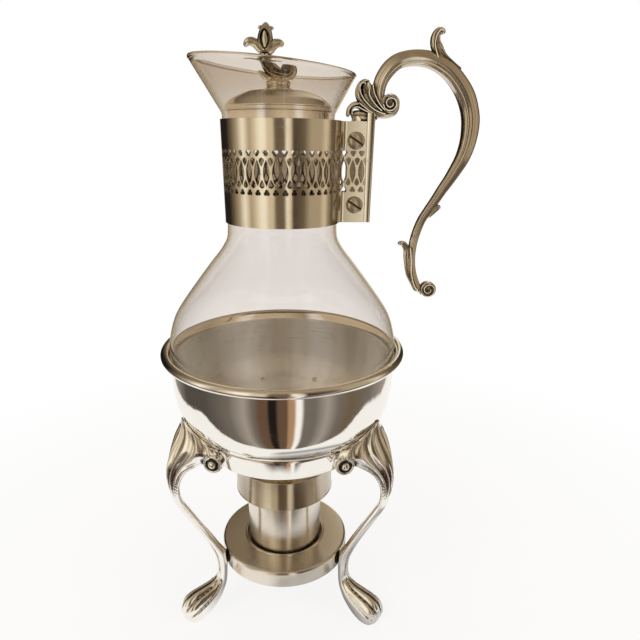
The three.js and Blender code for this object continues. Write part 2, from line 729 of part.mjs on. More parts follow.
function flaskOutline() {
  const lower = flaskLowerShares.map(([r, z]) => [r * flaskRadius, flaskBottom + z * flaskHeight]);
  const upper = flaskUpperShares.map(([r, z]) => [
    mix(neckFootRadius, flaskRadius, r), flaskWidest + z * shoulderHeight,
  ]);
  const neck = [[neckFootRadius, bandBottom], [neckTopRadius, bandTop], [neckTopRadius, neckTop]];
  return [...lower, ...upper, ...neck];
}

// Tilts the mouth: each place on the flare moves along its own slope towards the tilted plane.
function tiltMouth(geometry, mouth) {
  const slope = Math.tan(radians(mouthTilt));
  const place = geometry.getAttribute('position');
  for (let i = 0; i < place.count; i += 1) {
    const [x, y, z] = [place.getX(i), place.getY(i), place.getZ(i)];
    if (z <= neckTop) continue;
    const radius = Math.hypot(x, y);
    const lean = (slope * x) / radius;
    const rise = (flareHeight - lean * neckTopRadius) / (1 + lean * flareTan);
    const moved = neckTop + ((z - neckTop) * rise) / (mouth - neckTop);
    const scale = (radius + (moved - z) * flareTan) / radius;
    place.setXYZ(i, x * scale, y * scale, moved);
  }
  return geometry;
}

function leanNeck(geometry) {
  const place = geometry.getAttribute('position');
  for (let i = 0; i < place.count; i += 1) {
    place.setX(i, place.getX(i) - Math.max(0, neckLean(place.getZ(i))));
  }
  return geometry;
}

function carafeGlass() {
  const mouth = neckTop + flareHeight;
  const wall = flaskOutline();
  const inner = offsetLine([[0, flaskBottom], ...wall], glassWall);
  inner[0][0] = 0;
  const lipInner = flareRadius(mouth) - glassWall / flareCos;
  const swell = glassWall * lipRollShare;
  const lip = [
    [flareRadius(mouth - glassWall) + swell, mouth - glassWall],
    [flareRadius(mouth), mouth],
    [lipInner, mouth],
    [lipInner - swell, mouth - glassWall],
  ];
  const profile = [[0, flaskBottom], ...wall, ...lip, ...inner.reverse()];
  return leanNeck(tiltMouth(revolved(profile, neckFacets), mouth));
}

// Plan of the band at a height: a place on its middle line and the outward direction there.
// The strip runs along the front tab, round a fillet, round the neck and back to the rear tab.
function bandPlan(share, height) {
  const radius = mix(bandBottomRadius, bandTopRadius, (height - bandBottom) / bandHeight) - bandSheet / 2;
  const drop = tabMiddle + tabFillet;
  const filletX = Math.sqrt((radius + tabFillet) ** 2 - drop ** 2);
  const meeting = Math.atan2(drop, filletX);
  const tabLength = tabEnd - filletX;
  const filletLength = tabFillet * (Math.PI / 2 - meeting);
  const arcLength = radius * 2 * (Math.PI - meeting);
  const total = 2 * (tabLength + filletLength) + arcLength;
  const side = share <= 0.5 ? -1 : 1;
  const run = total * Math.min(share, 1 - share);
  if (run <= tabLength) {
    return { x: tabEnd - run, y: side * tabMiddle, outX: 0, outY: side };
  }
  if (run <= tabLength + filletLength) {
    const turn = Math.PI / 2 + (run - tabLength) / tabFillet;
    const [c, s] = [Math.cos(turn), Math.sin(turn)];
    return { x: filletX + tabFillet * c, y: side * (drop - tabFillet * s), outX: -c, outY: side * s };
  }
  const turn = meeting + (run - tabLength - filletLength) / radius;
  const [c, s] = [Math.cos(turn), Math.sin(turn)];
  return { x: radius * c, y: side * radius * s, outX: c, outY: side * s };
}

// One column of the strip: its edge with half kites cut from its sides, and its lens.
function galleryCell(isFirst, isLast, isBent) {
  const at = (share) => bandBottom + bandHeight * mix(galleryBottomShare, galleryTopShare, share);
  const kites = [lowerKiteShares, upperKiteShares];
  const sideCuts = (edge) => kites.flatMap(([foot, wide, tip]) => [
    [edge, at(foot)], [edge * (1 - 2 * kiteHalfWidthShare), at(wide)], [edge, at(tip)],
  ]);
  const right = isLast ? [] : sideCuts(0.5);
  const left = isFirst ? [] : sideCuts(-0.5).reverse();
  const bottomMiddle = isBent ? [[0, bandBottom]] : [];
  const topMiddle = isBent ? [[0, bandTop]] : [];
  const edge = [
    [-0.5, bandBottom], ...bottomMiddle, [0.5, bandBottom], ...right,
    [0.5, bandTop], ...topMiddle, [-0.5, bandTop], ...left,
  ];
  const [foot, low, high, tip] = lensShares.map(at);
  const half = lensHalfWidthShare;
  const lens = [[0, foot], [-half, low], [-half, high], [0, tip], [half, high], [half, low]];
  return { edge, lens };
}

function neckBandStrip() {
  const places = [];
  const faces = [];
  const addPlace = ([across, height], cell, face) => {
    const plan = bandPlan((cell + 0.5 + across) / galleryCells, height);
    const out = (face * bandSheet) / 2;
    places.push(plan.x + plan.outX * out, plan.y + plan.outY * out, height);
  };
  for (let cell = 0; cell < galleryCells; cell += 1) {
    const fromEnd = Math.min(cell, galleryCells - 1 - cell);
    const isBent = fromEnd > 0 && fromEnd <= filletCells;
    const { edge, lens } = galleryCell(cell === 0, cell === galleryCells - 1, isBent);
    const loops = [edge, lens];
    const flat = loops.flat();
    const start = places.length / 3;
    flat.forEach((p) => addPlace(p, cell, 1));
    flat.forEach((p) => addPlace(p, cell, -1));
    const [contour, hole] = loops.map((loop) => loop.map(([x, y]) => new THREE.Vector2(x, y)));
    const corners = [...contour, ...hole];
    THREE.ShapeUtils.triangulateShape(contour, [hole]).forEach((triple) => {
      const turn = THREE.ShapeUtils.area(triple.map((i) => corners[i]));
      const [a, b, c] = turn > 0 ? triple : [...triple].reverse();
      faces.push(start + a, start + b, start + c);
      faces.push(start + flat.length + a, start + flat.length + c, start + flat.length + b);
    });
    let first = start;
    loops.forEach((loop) => {
      loop.forEach((p, i) => {
        const next = (i + 1) % loop.length;
        const shared = (side) => p[0] === side && loop[next][0] === side;
        if (shared(0.5) && cell < galleryCells - 1) return;
        if (shared(-0.5) && cell > 0) return;
        const [a, b] = [first + i, first + next];
        faces.push(a, a + flat.length, b + flat.length, a, b + flat.length, b);
      });
      first += loop.length;
    });
  }
  const geometry = new THREE.BufferGeometry();
  geometry.setAttribute('position', new THREE.Float32BufferAttribute(places, 3));
  geometry.setIndex(faces);
  return geometry;
}

function screwHoles(halfLength) {
  const radius = screwRadius + seatGap;
  return screwHeights.map((height) => (
    alongY(cylinder(radius, -halfLength, halfLength, shankFacets), screwAcross, height)
  ));
}

function neckBand() {
  return cutBy(neckBandStrip(), screwHoles(tabMiddle + overrun));
}

// Rows of shares on the handle as [x, z, half width].
function onHandle(rows) {
  return rows.map(([x, z, half]) => [
    tangOuter + x * handleReach, bandTop + z * handleRise, half * handleReach,
  ]);
}

function tang() {
  const inner = bandTopRadius + tabFillet;
  const plateWidth = tangFace - inner + postWidth / 2;
  const plate = new THREE.BoxGeometry(plateWidth, 2 * tangHalfThickness, bandHeight)
    .translate(inner + plateWidth / 2, 0, (bandBottom + bandTop) / 2);
  const post = [];
  [[bandBottom, postTaper], [bandTop, 0], [bandTop + postRise, 0]].forEach(([height, taper]) => {
    const face = tangOuter - taper;
    const corner = face - postWidth * postBevelShare;
    post.push([
      [tangFace, -1], [corner, -1], [face, -0.5], [face, 0.5], [corner, 1], [tangFace, 1],
    ].map(([x, side]) => new THREE.Vector3(x, side * postHalfThickness, height)));
  });
  return [plate, lofted(post)];
}

function handle() {
  const scrolls = [
    baseVoluteShares, backScrollShares, footScrollShares, thumbLeafShares, nubShares,
    tailLeafShares, tailScrollShares,
  ].map((rows) => horn(onHandle(rows), roundSection, handleFlatnessShare));
  const bow = horn(onHandle(bowShares), handleSectionShares, handleFlatnessShare);
  return cutBy(joined([...tang(), bow, ...scrolls]), screwHoles(postHalfThickness + overrun));
}

function clampScrew(height) {
  const seat = tabMiddle + bandSheet / 2 + seatGap;
  const top = seat + screwHeadHeight;
  const end = -(seat + nutHeight + seatGap + screwTail);
  const crown = screwCrownShares.map(([r, z]) => [screwHeadRadius * r, seat + screwHeadHeight * z]);
  const body = revolved([
    [0, end], [screwRadius, end], [screwRadius, seat], ...crown, [0, top],
  ], smallFacets);
  const slot = new THREE.BoxGeometry(3 * screwHeadRadius, slotWidth, 2 * slotDepth)
    .translate(0, 0, top)
    .rotateZ(radians(slotTurn));
  return cutBy(body, [slot]).rotateX(Math.PI / 2).translate(screwAcross, 0, height);
}

function clampNut(height) {
  const seat = tabMiddle + bandSheet / 2 + seatGap;
  const across = nutWidth / Math.cos(Math.PI / 6) / 2;
  const bore = screwRadius + seatGap;
  const nut = cylinder(across, seat, seat + nutHeight, 6);
  const hole = cylinder(bore, seat - overrun, seat + nutHeight + overrun, shankFacets);
  return alongY(cutBy(nut, [hole]), screwAcross, height);
}

// Lid

function lidDome() {
  const outer = [
    [lidRadius, lidRim],
    ...lidDomeShares.map(([r, z]) => [lidRadius * r, lidShoulder + lidDomeHeight * z]),
  ];
  const hole = finialScrewRadius + seatGap;
  const inner = offsetLine(outer, lidSheet);
  inner[0] = [lidRadius - lidSheet, lidRim];
  return revolved(closedProfile([
    ...outer, [hole, lidTop], [hole, lidTop - lidSheet], ...inner.reverse(),
  ]), neckFacets);
}

function lidSkirt() {
  const outer = lidRadius - lidSheet - seatGap;
  const inner = outer - lidSheet;
  const top = lidRim + lidSideHeight * lidSkirtShare;
  return revolved(closedProfile([
    [inner, lidRim - lidSkirtDepth], [outer, lidRim - lidSkirtDepth], [outer, top], [inner, top],
  ]), neckFacets);
}

function finialFerrule() {
  const bore = finialScrewRadius + seatGap;
  const side = ferruleShares.map(([r, z]) => [ferruleRadius * r, ferruleFoot + z * ferruleHeight]);
  return revolved(closedProfile([
    [bore, ferruleFoot], ...side, [bore, ferruleFoot + ferruleHeight],
  ]), smallFacets);
}

function onFinial(rows) {
  return rows.map(([x, z, half]) => [
    x * finialHalfWidth, finialFoot + z * finialHeight, half * finialHalfWidth,
  ]);
}

function finial() {
  const petals = [-1, 1].map((side) => onFinial(petalShares.map(([x, z, half]) => [
    finialLeanShare + side * x, z, half,
  ])));
  const stalks = [
    finialStemShares, finialVoluteShares, finialLeafShares, finialBudShares,
  ].map(onFinial);
  const parts = [...stalks, ...petals].map((rows) => horn(rows, roundSection, finialFlatnessShare));
  const spigot = cylinder(finialSpigotRadius, finialFoot, finialFoot + finialSpigotHeight, smallFacets);
  const holeTop = finialFoot + finialScrewBite + seatGap;
  const hole = cylinder(finialScrewRadius + seatGap, finialFoot - overrun, holeTop, shankFacets);
  const under = cylinder(finialHalfWidth * 2, finialFoot - overrun * 3, finialFoot, smallFacets);
  return cutBy(joined([...parts, spigot]), [hole, under]);
}

function finialScrew() {
  const seat = lidTop - lidSheet - seatGap;
  const head = seat - finialScrewHeadHeight;
  const tip = finialFoot + finialScrewBite;
  const crown = finialScrewCrownShares.map(([r, z]) => [
    finialScrewHeadRadius * r, head + finialScrewHeadHeight * z,
  ]);
  const body = revolved([
    [0, head], ...crown, [finialScrewHeadRadius, seat], [finialScrewRadius, seat],
    [finialScrewRadius, tip], [0, tip],
  ], smallFacets);
  const slot = new THREE.BoxGeometry(3 * finialScrewHeadRadius, slotWidth, slotDepth).translate(0, 0, head);
  return cutBy(body, [slot]);
}

// Assembly

const group = new THREE.Group();

group.add(piece('bowl', bowl(), brightSilver));
group.add(piece('foot_ring', footRing(), brightSilver));
group.add(piece('burner_tray', tray(), satinSilver));

const legNames = ['back', 'front_left', 'front_right'];
legAzimuths().forEach((azimuth, i) => {
  const name = legNames[i] ?? `extra_${i}`;
  group.add(piece(`leg_${name}`, leg(azimuth), brightSilver));
  [[-1, 'a'], [1, 'b']].forEach(([side, letter]) => {
    const rivet = onBowlWall(rivetShapes().rivet, azimuth + side * rivetAzimuth);
    group.add(piece(`rivet_${name}_${letter}`, rivet, silver));
  });
});

group.add(piece('burner_cup', burnerCup(), satinSilver));
group.add(piece('burner_guard', burnerGuard(), satinSilver));
group.add(piece('wick_plate', wickPlate(), brass));
group.add(piece('wick_tube', wickTube(), brass));
group.add(piece('wick', wick(), cotton));

group.add(piece('carafe_glass', carafeGlass(), clearGlass));
group.add(piece('neck_band', neckBand(), silver));
group.add(piece('handle', handle(), silver));
screwHeights.forEach((height, i) => {
  const name = ['upper', 'lower'][i];
  group.add(piece(`clamp_screw_${name}`, clampScrew(height), silver));
  group.add(piece(`clamp_nut_${name}`, clampNut(height), silver));
});

const lidShapes = {
  lid_dome: lidDome(),
  lid_skirt: lidSkirt(),
  finial_ferrule: finialFerrule(),
  finial: finial(),
  finial_screw: finialScrew(),
};
for (const [name, shape] of Object.entries(lidShapes)) {
  group.add(piece(name, shape.translate(-lidShift, 0, 0), silver));
}

// The origin is on the ground under the middle of the whole outline.
const outline = new THREE.Box3().setFromObject(group, true);
const middle = outline.getCenter(new THREE.Vector3());
group.position.set(-middle.x, -middle.y, -outline.min.z);

export default group;
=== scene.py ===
"""Coffee carafe on a warming stand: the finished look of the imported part."""
import math

import bmesh
import bpy
import numpy as np
from bpy.props import FloatProperty, FloatVectorProperty, IntProperty, PointerProperty
from bpy.types import Operator, Panel, PropertyGroup
from mathutils import Matrix, Vector
from mathutils.bvhtree import BVHTree


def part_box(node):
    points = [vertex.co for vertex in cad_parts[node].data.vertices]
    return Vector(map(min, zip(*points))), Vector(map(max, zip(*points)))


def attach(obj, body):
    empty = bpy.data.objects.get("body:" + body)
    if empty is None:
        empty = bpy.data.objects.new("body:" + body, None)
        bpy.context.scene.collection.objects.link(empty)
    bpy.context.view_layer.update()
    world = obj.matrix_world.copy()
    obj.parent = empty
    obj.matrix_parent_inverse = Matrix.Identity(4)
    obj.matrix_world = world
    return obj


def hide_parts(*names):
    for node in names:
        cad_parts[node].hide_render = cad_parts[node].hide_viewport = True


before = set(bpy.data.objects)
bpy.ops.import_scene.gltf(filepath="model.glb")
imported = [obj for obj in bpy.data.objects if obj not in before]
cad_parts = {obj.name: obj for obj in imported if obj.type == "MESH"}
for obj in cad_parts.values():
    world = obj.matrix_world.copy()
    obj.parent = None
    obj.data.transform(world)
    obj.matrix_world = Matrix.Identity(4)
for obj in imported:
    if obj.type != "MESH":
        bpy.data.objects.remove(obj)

bl_info = {
    "name": "Carafe on Warming Stand",
    "version": (1, 0, 0),
    "blender": (4, 5, 0),
    "location": "3D View > Sidebar > Carafe",
    "description": "Builds a glass carafe with a pierced neck band on a warming stand, piece by piece",
    "category": "Object",
}

MM = 0.001
TURN = 2 * math.pi
WELD = 0.00001          # points nearer than this, in metres, are one point
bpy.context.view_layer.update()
BOWL_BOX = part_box("bowl")
AXIS = Vector(((BOWL_BOX[0].x + BOWL_BOX[1].x) / 2, (BOWL_BOX[0].y + BOWL_BOX[1].y) / 2, 0))


# Settings that a user may change

def length(name, description, millimetres):
    return FloatProperty(
        name=name, description=description, default=millimetres * MM, min=0,
        precision=4, unit="LENGTH", subtype="DISTANCE",
    )


def angle(name, description, degrees):
    return FloatProperty(
        name=name, description=description, default=math.radians(degrees),
        unit="ROTATION", subtype="ANGLE",
    )


def colour(name, description, value):
    return FloatVectorProperty(
        name=name, description=description, default=value, size=3, min=0, max=1, subtype="COLOR",
    )


class StandSizes(PropertyGroup):
    bowl_radius: length("Bowl radius", "Outer radius of the bowl's wall", 76.5)
    bowl_floor: length("Bowl floor", "Underside of the bowl's floor above the ground", 140.9)
    bowl_depth: length("Bowl depth", "Underside of the floor to the middle of the rim", 59.1)
    bowl_sheet: length("Bowl sheet", "Thickness of the bowl's metal", 0.8)
    heat_hole: length("Heat hole", "Radius of the opening in the bowl's floor", 30)
    rim_radius: length("Rim radius", "Axis to the middle of the rolled rim", 79.65)
    rim_roll: length("Rim roll", "Radius of the rolled rim itself", 2.9)
    ring_top: length("Foot ring top", "Outer radius of the foot ring at its top", 59.5)
    ring_bottom: length("Foot ring bottom", "Outer radius of the foot ring at its bottom", 55.8)
    ring_height: length("Foot ring height", "Bottom edge of the foot ring above the ground", 129.2)
    tray_radius: length("Tray radius", "Outer radius of the burner's tray", 47.1)
    tray_top: length("Tray top", "Top of the tray above the ground", 48.8)
    tray_depth: length("Tray depth", "Height of the tray's side", 11.8)
    well_radius: length("Well radius", "Radius of the well that the burner stands in", 28.4)
    well_floor: length("Well floor", "Underside of the well's floor above the ground", 37.4)
    leg_knee: length("Knee", "How far a knee stands out from the bowl's wall", 10.9)
    shell_top: length("Shell top", "Top of a leg's shell above the ground", 162.5)
    shell_half: length("Shell half width", "Half the width of a leg's shell at its widest", 26)
    flute_depth: length("Flute depth", "Depth of the flutes on the knees", 2.1)
    flutes: IntProperty(name="Flutes", description="Flutes across a knee", default=8, min=2, max=16)
    toes: IntProperty(name="Toes", description="Lobes across a foot", default=6, min=2, max=9)


class BurnerSizes(PropertyGroup):
    cup_top: length("Cup top", "Outer radius of the cup at its rim", 27.6)
    cup_bottom: length("Cup bottom", "Outer radius of the cup at its foot", 26.7)
    cup_height: length("Cup height", "Height of the cup", 58.7)
    cup_sheet: length("Cup sheet", "Thickness of the cup's metal", 0.8)
    guard_radius: length("Guard radius", "Outer radius of the flame guard", 35.1)
    guard_height: length("Guard height", "Height of the flame guard", 21)
    guard_skirt: length("Guard skirt", "How far the guard hangs below the cup's rim", 6.2)
    wick_radius: length("Wick tube radius", "Outer radius of the wick's tube", 3.2)


class CarafeSizes(PropertyGroup):
    wall: length("Glass wall", "Thickness of the glass", 1.8)
    flask_radius: length("Flask radius", "Outer radius of the flask at its widest", 76.2)
    flask_height: length("Flask height", "Bottom of the flask to its widest place", 64.2)
    shoulder: length("Shoulder height", "Widest place to the foot of the neck", 72.5)
    neck_radius: length("Neck radius", "Outer radius of the neck at its top", 34.5)
    neck_above: length("Neck above the band", "Top of the band to the top of the neck", 3.5)
    flare_height: length("Flare height", "Top of the neck to the middle of the mouth", 26.4)
    flare_angle: angle("Flare angle", "Slope of the flared mouth from upright", 30.4)
    mouth_tilt: angle("Mouth tilt", "How far the mouth tilts up towards the pouring side", 4.8)
    band_bottom: length("Band bottom radius", "Outer radius of the neck band at its bottom", 36.3)
    band_top: length("Band top radius", "Outer radius of the neck band at its top", 37.5)
    band_height: length("Band height", "Height of the neck band", 61.6)
    band_sheet: length("Band sheet", "Thickness of the band's metal", 1)
    cells: IntProperty(name="Gallery columns", description="Columns of piercings", default=47, min=12, max=80)
    handle_reach: length("Handle reach", "Tang to the middle of the handle's bow", 61.2)
    handle_rise: length("Handle rise", "Tail of the handle to the top of its bow", 147.7)
    screw_head: length("Screw head", "Radius of a clamp screw's head", 5.3)


class LidSizes(PropertyGroup):
    side: length("Side height", "Height of the lid's side", 3.2)
    dome: length("Dome height", "Height of the lid's dome above its side", 9.3)
    sheet: length("Lid sheet", "Thickness of the lid's metal", 0.8)
    skirt: length("Skirt depth", "How far the skirt reaches into the neck", 11)
    ferrule: length("Ferrule radius", "Radius of the ring under the finial", 7.4)
    finial_height: length("Finial height", "Height of the cast finial", 32.3)
    finial_half: length("Finial half width", "Half the width that the finial's places are shares of", 12.5)


class FinishColours(PropertyGroup):
    polished: colour("Polished silver", "Bowl, foot ring and legs", (0.94, 0.91, 0.87))
    satin: colour("Satin silver", "Tray, cup and flame guard", (0.82, 0.76, 0.68))
    aged: colour("Aged silver", "Neck band and lid", (0.86, 0.80, 0.70))
    cast: colour("Cast silver", "Handle and finial", (0.66, 0.585, 0.48))
    oxide: colour("Oxide", "Dark tarnish in the recesses", (0.050, 0.038, 0.026))
    glass: colour("Glass", "Tint of the flask", (0.975, 0.955, 0.925))
    brass: colour("Brass", "Wick plate and wick tube", (0.69, 0.53, 0.28))
    cotton: colour("Cotton", "The wick", (0.83, 0.78, 0.68))
    solder: colour("Solder", "Dark solder where the legs meet the tray", (0.03, 0.026, 0.022))


class StudioSettings(PropertyGroup):
    lens: FloatProperty(name="Lens", description="Focal length", default=31.456, min=10, max=200)
    camera_place: FloatVectorProperty(
        name="Camera place", description="Where the camera stands", size=3,
        default=(-0.020855, -0.36815, 0.3346), unit="LENGTH", subtype="TRANSLATION",
    )
    yaw: angle("Yaw", "Turn of the camera towards the handle", 3.943)
    pitch: angle("Pitch", "How far the camera looks down", 17.528)
    roll: angle("Roll", "Roll of the camera", 0.743)
    floor: colour("Floor", "The pale table top", (0.93, 0.925, 0.915))
    table_front: length("Table front", "How far the mirrored table reaches towards the camera", 135)


# Lines and profiles, as lists of points in millimetres

def mix(a, b, t):
    return a + (b - a) * t


def through(points, count):
    """Evenly many points on a smooth line through the given ones; extra columns go along."""
    rows = np.array(points, float)
    ends = np.vstack([2 * rows[0] - rows[1], rows, 2 * rows[-1] - rows[-2]])
    made = []
    for k in range(count):
        at = (len(rows) - 1) * k / (count - 1)
        i = min(int(at), len(rows) - 2)
        p = ends[i:i + 4]
        gaps = np.linalg.norm(np.diff(p[:, :2], axis=0), axis=1) ** 0.5 + 1e-9
        t0, t1 = 0, gaps[0]
        t2 = t1 + gaps[1]
        t3 = t2 + gaps[2]
        t = t1 + (at - i) * gaps[1]
        a1 = ((t1 - t) * p[0] + (t - t0) * p[1]) / (t1 - t0)
        a2 = ((t2 - t) * p[1] + (t - t1) * p[2]) / (t2 - t1)
        a3 = ((t3 - t) * p[2] + (t - t2) * p[3]) / (t3 - t2)
        b1 = ((t2 - t) * a1 + (t - t0) * a2) / (t2 - t0)
        b2 = ((t3 - t) * a2 + (t - t1) * a3) / (t3 - t1)
        made.append(((t2 - t) * b1 + (t - t1) * b2) / (t2 - t1))
    return [tuple(float(x) for x in row) for row in made]


def offset(points, distance):
    """The line at a distance to the left of a line of radius and height points."""
    made = []
    for i, (r, z) in enumerate(points):
        before, after = points[max(i - 1, 0)], points[min(i + 1, len(points) - 1)]
        run = Vector((after[0] - before[0], after[1] - before[1])).normalized()
        made.append((r - run.y * distance, z + run.x * distance))
    return made


def softened(points, radius, steps=5):
    """A closed profile with each corner rounded, but those on the axis."""
    made = []
    for i, corner in enumerate(points):
        here = Vector(corner)
        back = Vector(points[i - 1]) - here
        on = Vector(points[(i + 1) % len(points)]) - here
        if here.x < 1e-6 or back.length < 1e-6 or on.length < 1e-6 or back.angle(on) > math.radians(160):
            made.append(corner)
            continue
        reach = min(radius, back.length * 0.45, on.length * 0.45)
        start, end = here + back.normalized() * reach, here + on.normalized() * reach
        for k in range(steps + 1):
            t = k / steps
            made.append(tuple((1 - t) ** 2 * start + 2 * t * (1 - t) * here + t * t * end))
    return made


def arc(r, z, radius, first, last, count):
    turns = [math.radians(mix(first, last, k / (count - 1))) for k in range(count)]
    return [(r + radius * math.cos(t), z + radius * math.sin(t)) for t in turns]


def by_turn(table, degrees):
    """A value from a table of angle and value, from 0 to 180 degrees and mirrored beyond."""
    at = abs((degrees + 180) % 360 - 180)
    for (a, low), (b, high) in zip(table, table[1:]):
        if at <= b:
            t = (at - a) / (b - a)
            return mix(low, high, t * t * (3 - 2 * t))
    return table[-1][1]


def height_on(line, radius):
    for (r0, z0), (r1, z1) in zip(line, line[1:]):
        if r0 <= radius <= r1:
            return mix(z0, z1, (radius - r0) / (r1 - r0))
    return line[-1][1]


# Shapes

def spin(bm, profile, steps=128):
    """Spins a closed profile of radius and height points, in millimetres, once round the axis."""
    verts = [bm.verts.new((r * MM, 0, z * MM)) for r, z in profile]
    edges = [bm.edges.new((a, b)) for a, b in zip(verts, verts[1:] + verts[:1])]
    bmesh.ops.spin(
        bm, geom=verts + edges, cent=(0, 0, 0), axis=(0, 0, 1), dvec=(0, 0, 0),
        angle=TURN, steps=steps, use_merge=True, use_duplicate=False,
    )


def lathe(profile, steps=128):
    """A closed turned shape of its own, from a closed profile."""
    bm = bmesh.new()
    spin(bm, profile, steps)
    close(bm)
    return bm


def bevel(bm, edges, width, segments=3, **more):
    bmesh.ops.bevel(
        bm, geom=edges, offset=width * MM, offset_type="OFFSET", segments=segments, profile=0.5,
        affect="EDGES", material=-1, **more,
    )


def laid(bm, *matrices):
    """Moves a shape by matrices, the last one first."""
    matrix = Matrix.Identity(4)
    for step in matrices:
        matrix = matrix @ step
    bmesh.ops.transform(bm, verts=bm.verts, matrix=matrix)
    return bm


def shift(x, y, z):
    return Matrix.Translation(Vector((x, y, z)) * MM)


def turn_about(axis, degrees):
    return Matrix.Rotation(math.radians(degrees), 4, axis)


def wrapped(bm, around, along, place):
    """A grid of faces whose points go where place(i, j) says, in millimetres."""
    grid = bmesh.ops.create_grid(bm, x_segments=around, y_segments=along, size=0.5)
    for v in grid["verts"]:
        i, j = round((v.co.x + 0.5) * around), round((v.co.y + 0.5) * along)
        v.co = place(i, j) * MM
    return grid["verts"]


def horn(rows, section, flatness=1.0, deep=0.0, around=40, step=0.5):
    """An arm along a line in the XZ plane, from rows of x, z and half width, with round ends.

    Its half depth is a share of the half width, or the same all along where deep is given."""
    fine = through(rows, 12 * len(rows))
    total = sum(math.dist(a[:2], b[:2]) for a, b in zip(fine, fine[1:]))
    along = max(12, int(total / step))
    line = through(rows, along + 1)
    run = [0]
    for a, b in zip(line, line[1:]):
        run.append(run[-1] + math.dist(a[:2], b[:2]))
    ends = (line[0][2], line[-1][2])
    across = Vector((0, 1, 0))
    rings = []
    for j, (x, z, half) in enumerate(line):
        before, after = line[max(j - 1, 0)], line[min(j + 1, along)]
        tangent = Vector((after[0] - before[0], 0, after[1] - before[1])).normalized()
        cap = 1
        for left, end in ((run[j], ends[0]), (run[-1] - run[j], ends[1])):
            if left < end:
                cap *= math.sqrt(max(0, 1 - (1 - left / end) ** 2))
        rings.append((Vector((x, 0, z)), across.cross(tangent), half * cap, (deep or half * flatness) * cap))

    def place(i, j):
        centre, outward, half, depth = rings[j]
        turn = TURN * i / around
        reach = by_turn(section, math.degrees(turn))
        return centre + outward * (half * reach * math.cos(turn)) + across * (depth * reach * math.sin(turn))

    bm = bmesh.new()
    wrapped(bm, around, along, place)
    close(bm)
    return bm


def curl(middle_x, middle_z, radii, first, turns, halves, count=12):
    """Rows of x, z and half width that wind inwards round a middle place."""
    rows = []
    for k in range(count):
        t = k / (count - 1)
        turn = math.radians(first) + TURN * turns * t
        radius = mix(*radii, t)
        rows.append((middle_x + radius * math.cos(turn), middle_z + radius * math.sin(turn), mix(*halves, t)))
    return rows


def close(bm):
    """Merges what lies together and turns the faces outwards."""
    bmesh.ops.remove_doubles(bm, verts=bm.verts, dist=WELD)
    bmesh.ops.recalc_face_normals(bm, faces=bm.faces)


def crease(bm, degrees):
    limit = math.radians(degrees)
    for face in bm.faces:
        face.smooth = True
    for edge in bm.edges:
        edge.smooth = len(edge.link_faces) != 2 or edge.calc_face_angle() < limit


def mesh_of(bm, name):
    mesh = bpy.data.meshes.new(name)
    bm.to_mesh(mesh)
    bm.free()
    return mesh


def linked(name, data):
    """A new object in the scene."""
    made = bpy.data.objects.new(name, data)
    bpy.context.scene.collection.objects.link(made)
    return made


def changed(mesh, kind, **settings):
    """A mesh with a modifier of this type applied."""
    holder = linked("holder", mesh)
    modifier = holder.modifiers.new(kind, kind)
    for key, value in settings.items():
        setattr(modifier, key, value)
    graph = bpy.context.evaluated_depsgraph_get()
    made = bpy.data.meshes.new_from_object(holder.evaluated_get(graph))
    bpy.data.objects.remove(holder)
    return made


def cast(bm, voxel):
    """One closed casting from shapes that run into each other, its joins slightly filled."""
    made = changed(mesh_of(bm, "casting"), "REMESH", mode="VOXEL", voxel_size=voxel * MM)
    melted = bmesh.new()
    melted.from_mesh(made)
    bmesh.ops.smooth_vert(
        melted, verts=melted.verts, factor=0.5, use_axis_x=True, use_axis_y=True, use_axis_z=True,
    )
    return melted


def combined(bm, tools, operation):
    """A closed bmesh with other closed bmeshes joined to it or cut out of it."""
    mesh = mesh_of(bm, "combined")
    for shape in tools:
        close(shape)
        tool = linked("tool", mesh_of(shape, "tool"))
        mesh = changed(mesh, "BOOLEAN", operation=operation, object=tool, solver="MANIFOLD")
        bpy.data.objects.remove(tool)
    made = bmesh.new()
    made.from_mesh(mesh)
    return made


def cut(bm, cutters):
    return combined(bm, cutters, "DIFFERENCE")


def joined(shapes):
    close(shapes[0])
    return combined(shapes[0], shapes[1:], "UNION")


def mark_recesses(mesh, far=2.6, thin=1.5, rays=10):
    """Stores how enclosed each point is: 0 on a thin ridge, a half in the open, 1 in a crevice.

    Short rays leave each point outwards, to find walls round it, and inwards, to find how thin it is.
    """
    tree = BVHTree.FromPolygons([v.co for v in mesh.vertices], [p.vertices for p in mesh.polygons])
    fan = []
    for k in range(rays):
        height = 1 - (k + 0.5) / rays * 0.85
        turn, flat = k * 2.4, math.sqrt(1 - height * height)
        fan.append(Vector((flat * math.cos(turn), flat * math.sin(turn), height)))
    values = []
    for v in mesh.vertices:
        normal = v.normal
        turned = Vector((0, 0, 1)).rotation_difference(normal)
        outside, inside = v.co + normal * 0.05 * MM, v.co - normal * 0.05 * MM
        walls = backs = 0
        for ray in fan:
            way = turned @ ray
            walls += tree.ray_cast(outside, way, far * MM)[0] is not None
            backs += tree.ray_cast(inside, -way, thin * MM)[0] is not None
        values.append(0.5 + 0.5 * (walls - backs) / rays)
    count = len(values)
    ends = np.empty(len(mesh.edges) * 2, int)
    mesh.edges.foreach_get("vertices", ends)
    a, b = ends.reshape(-1, 2).T
    degree = np.maximum(np.bincount(a, minlength=count) + np.bincount(b, minlength=count), 1)
    value = np.array(values)
    spread = np.bincount(a, value[b], minlength=count) + np.bincount(b, value[a], minlength=count)
    value = np.clip(0.5 * value + 0.5 * spread / degree, 0, 1)
    mesh.attributes.new("recess", "FLOAT", "POINT").data.foreach_set("value", value.astype(np.float32))


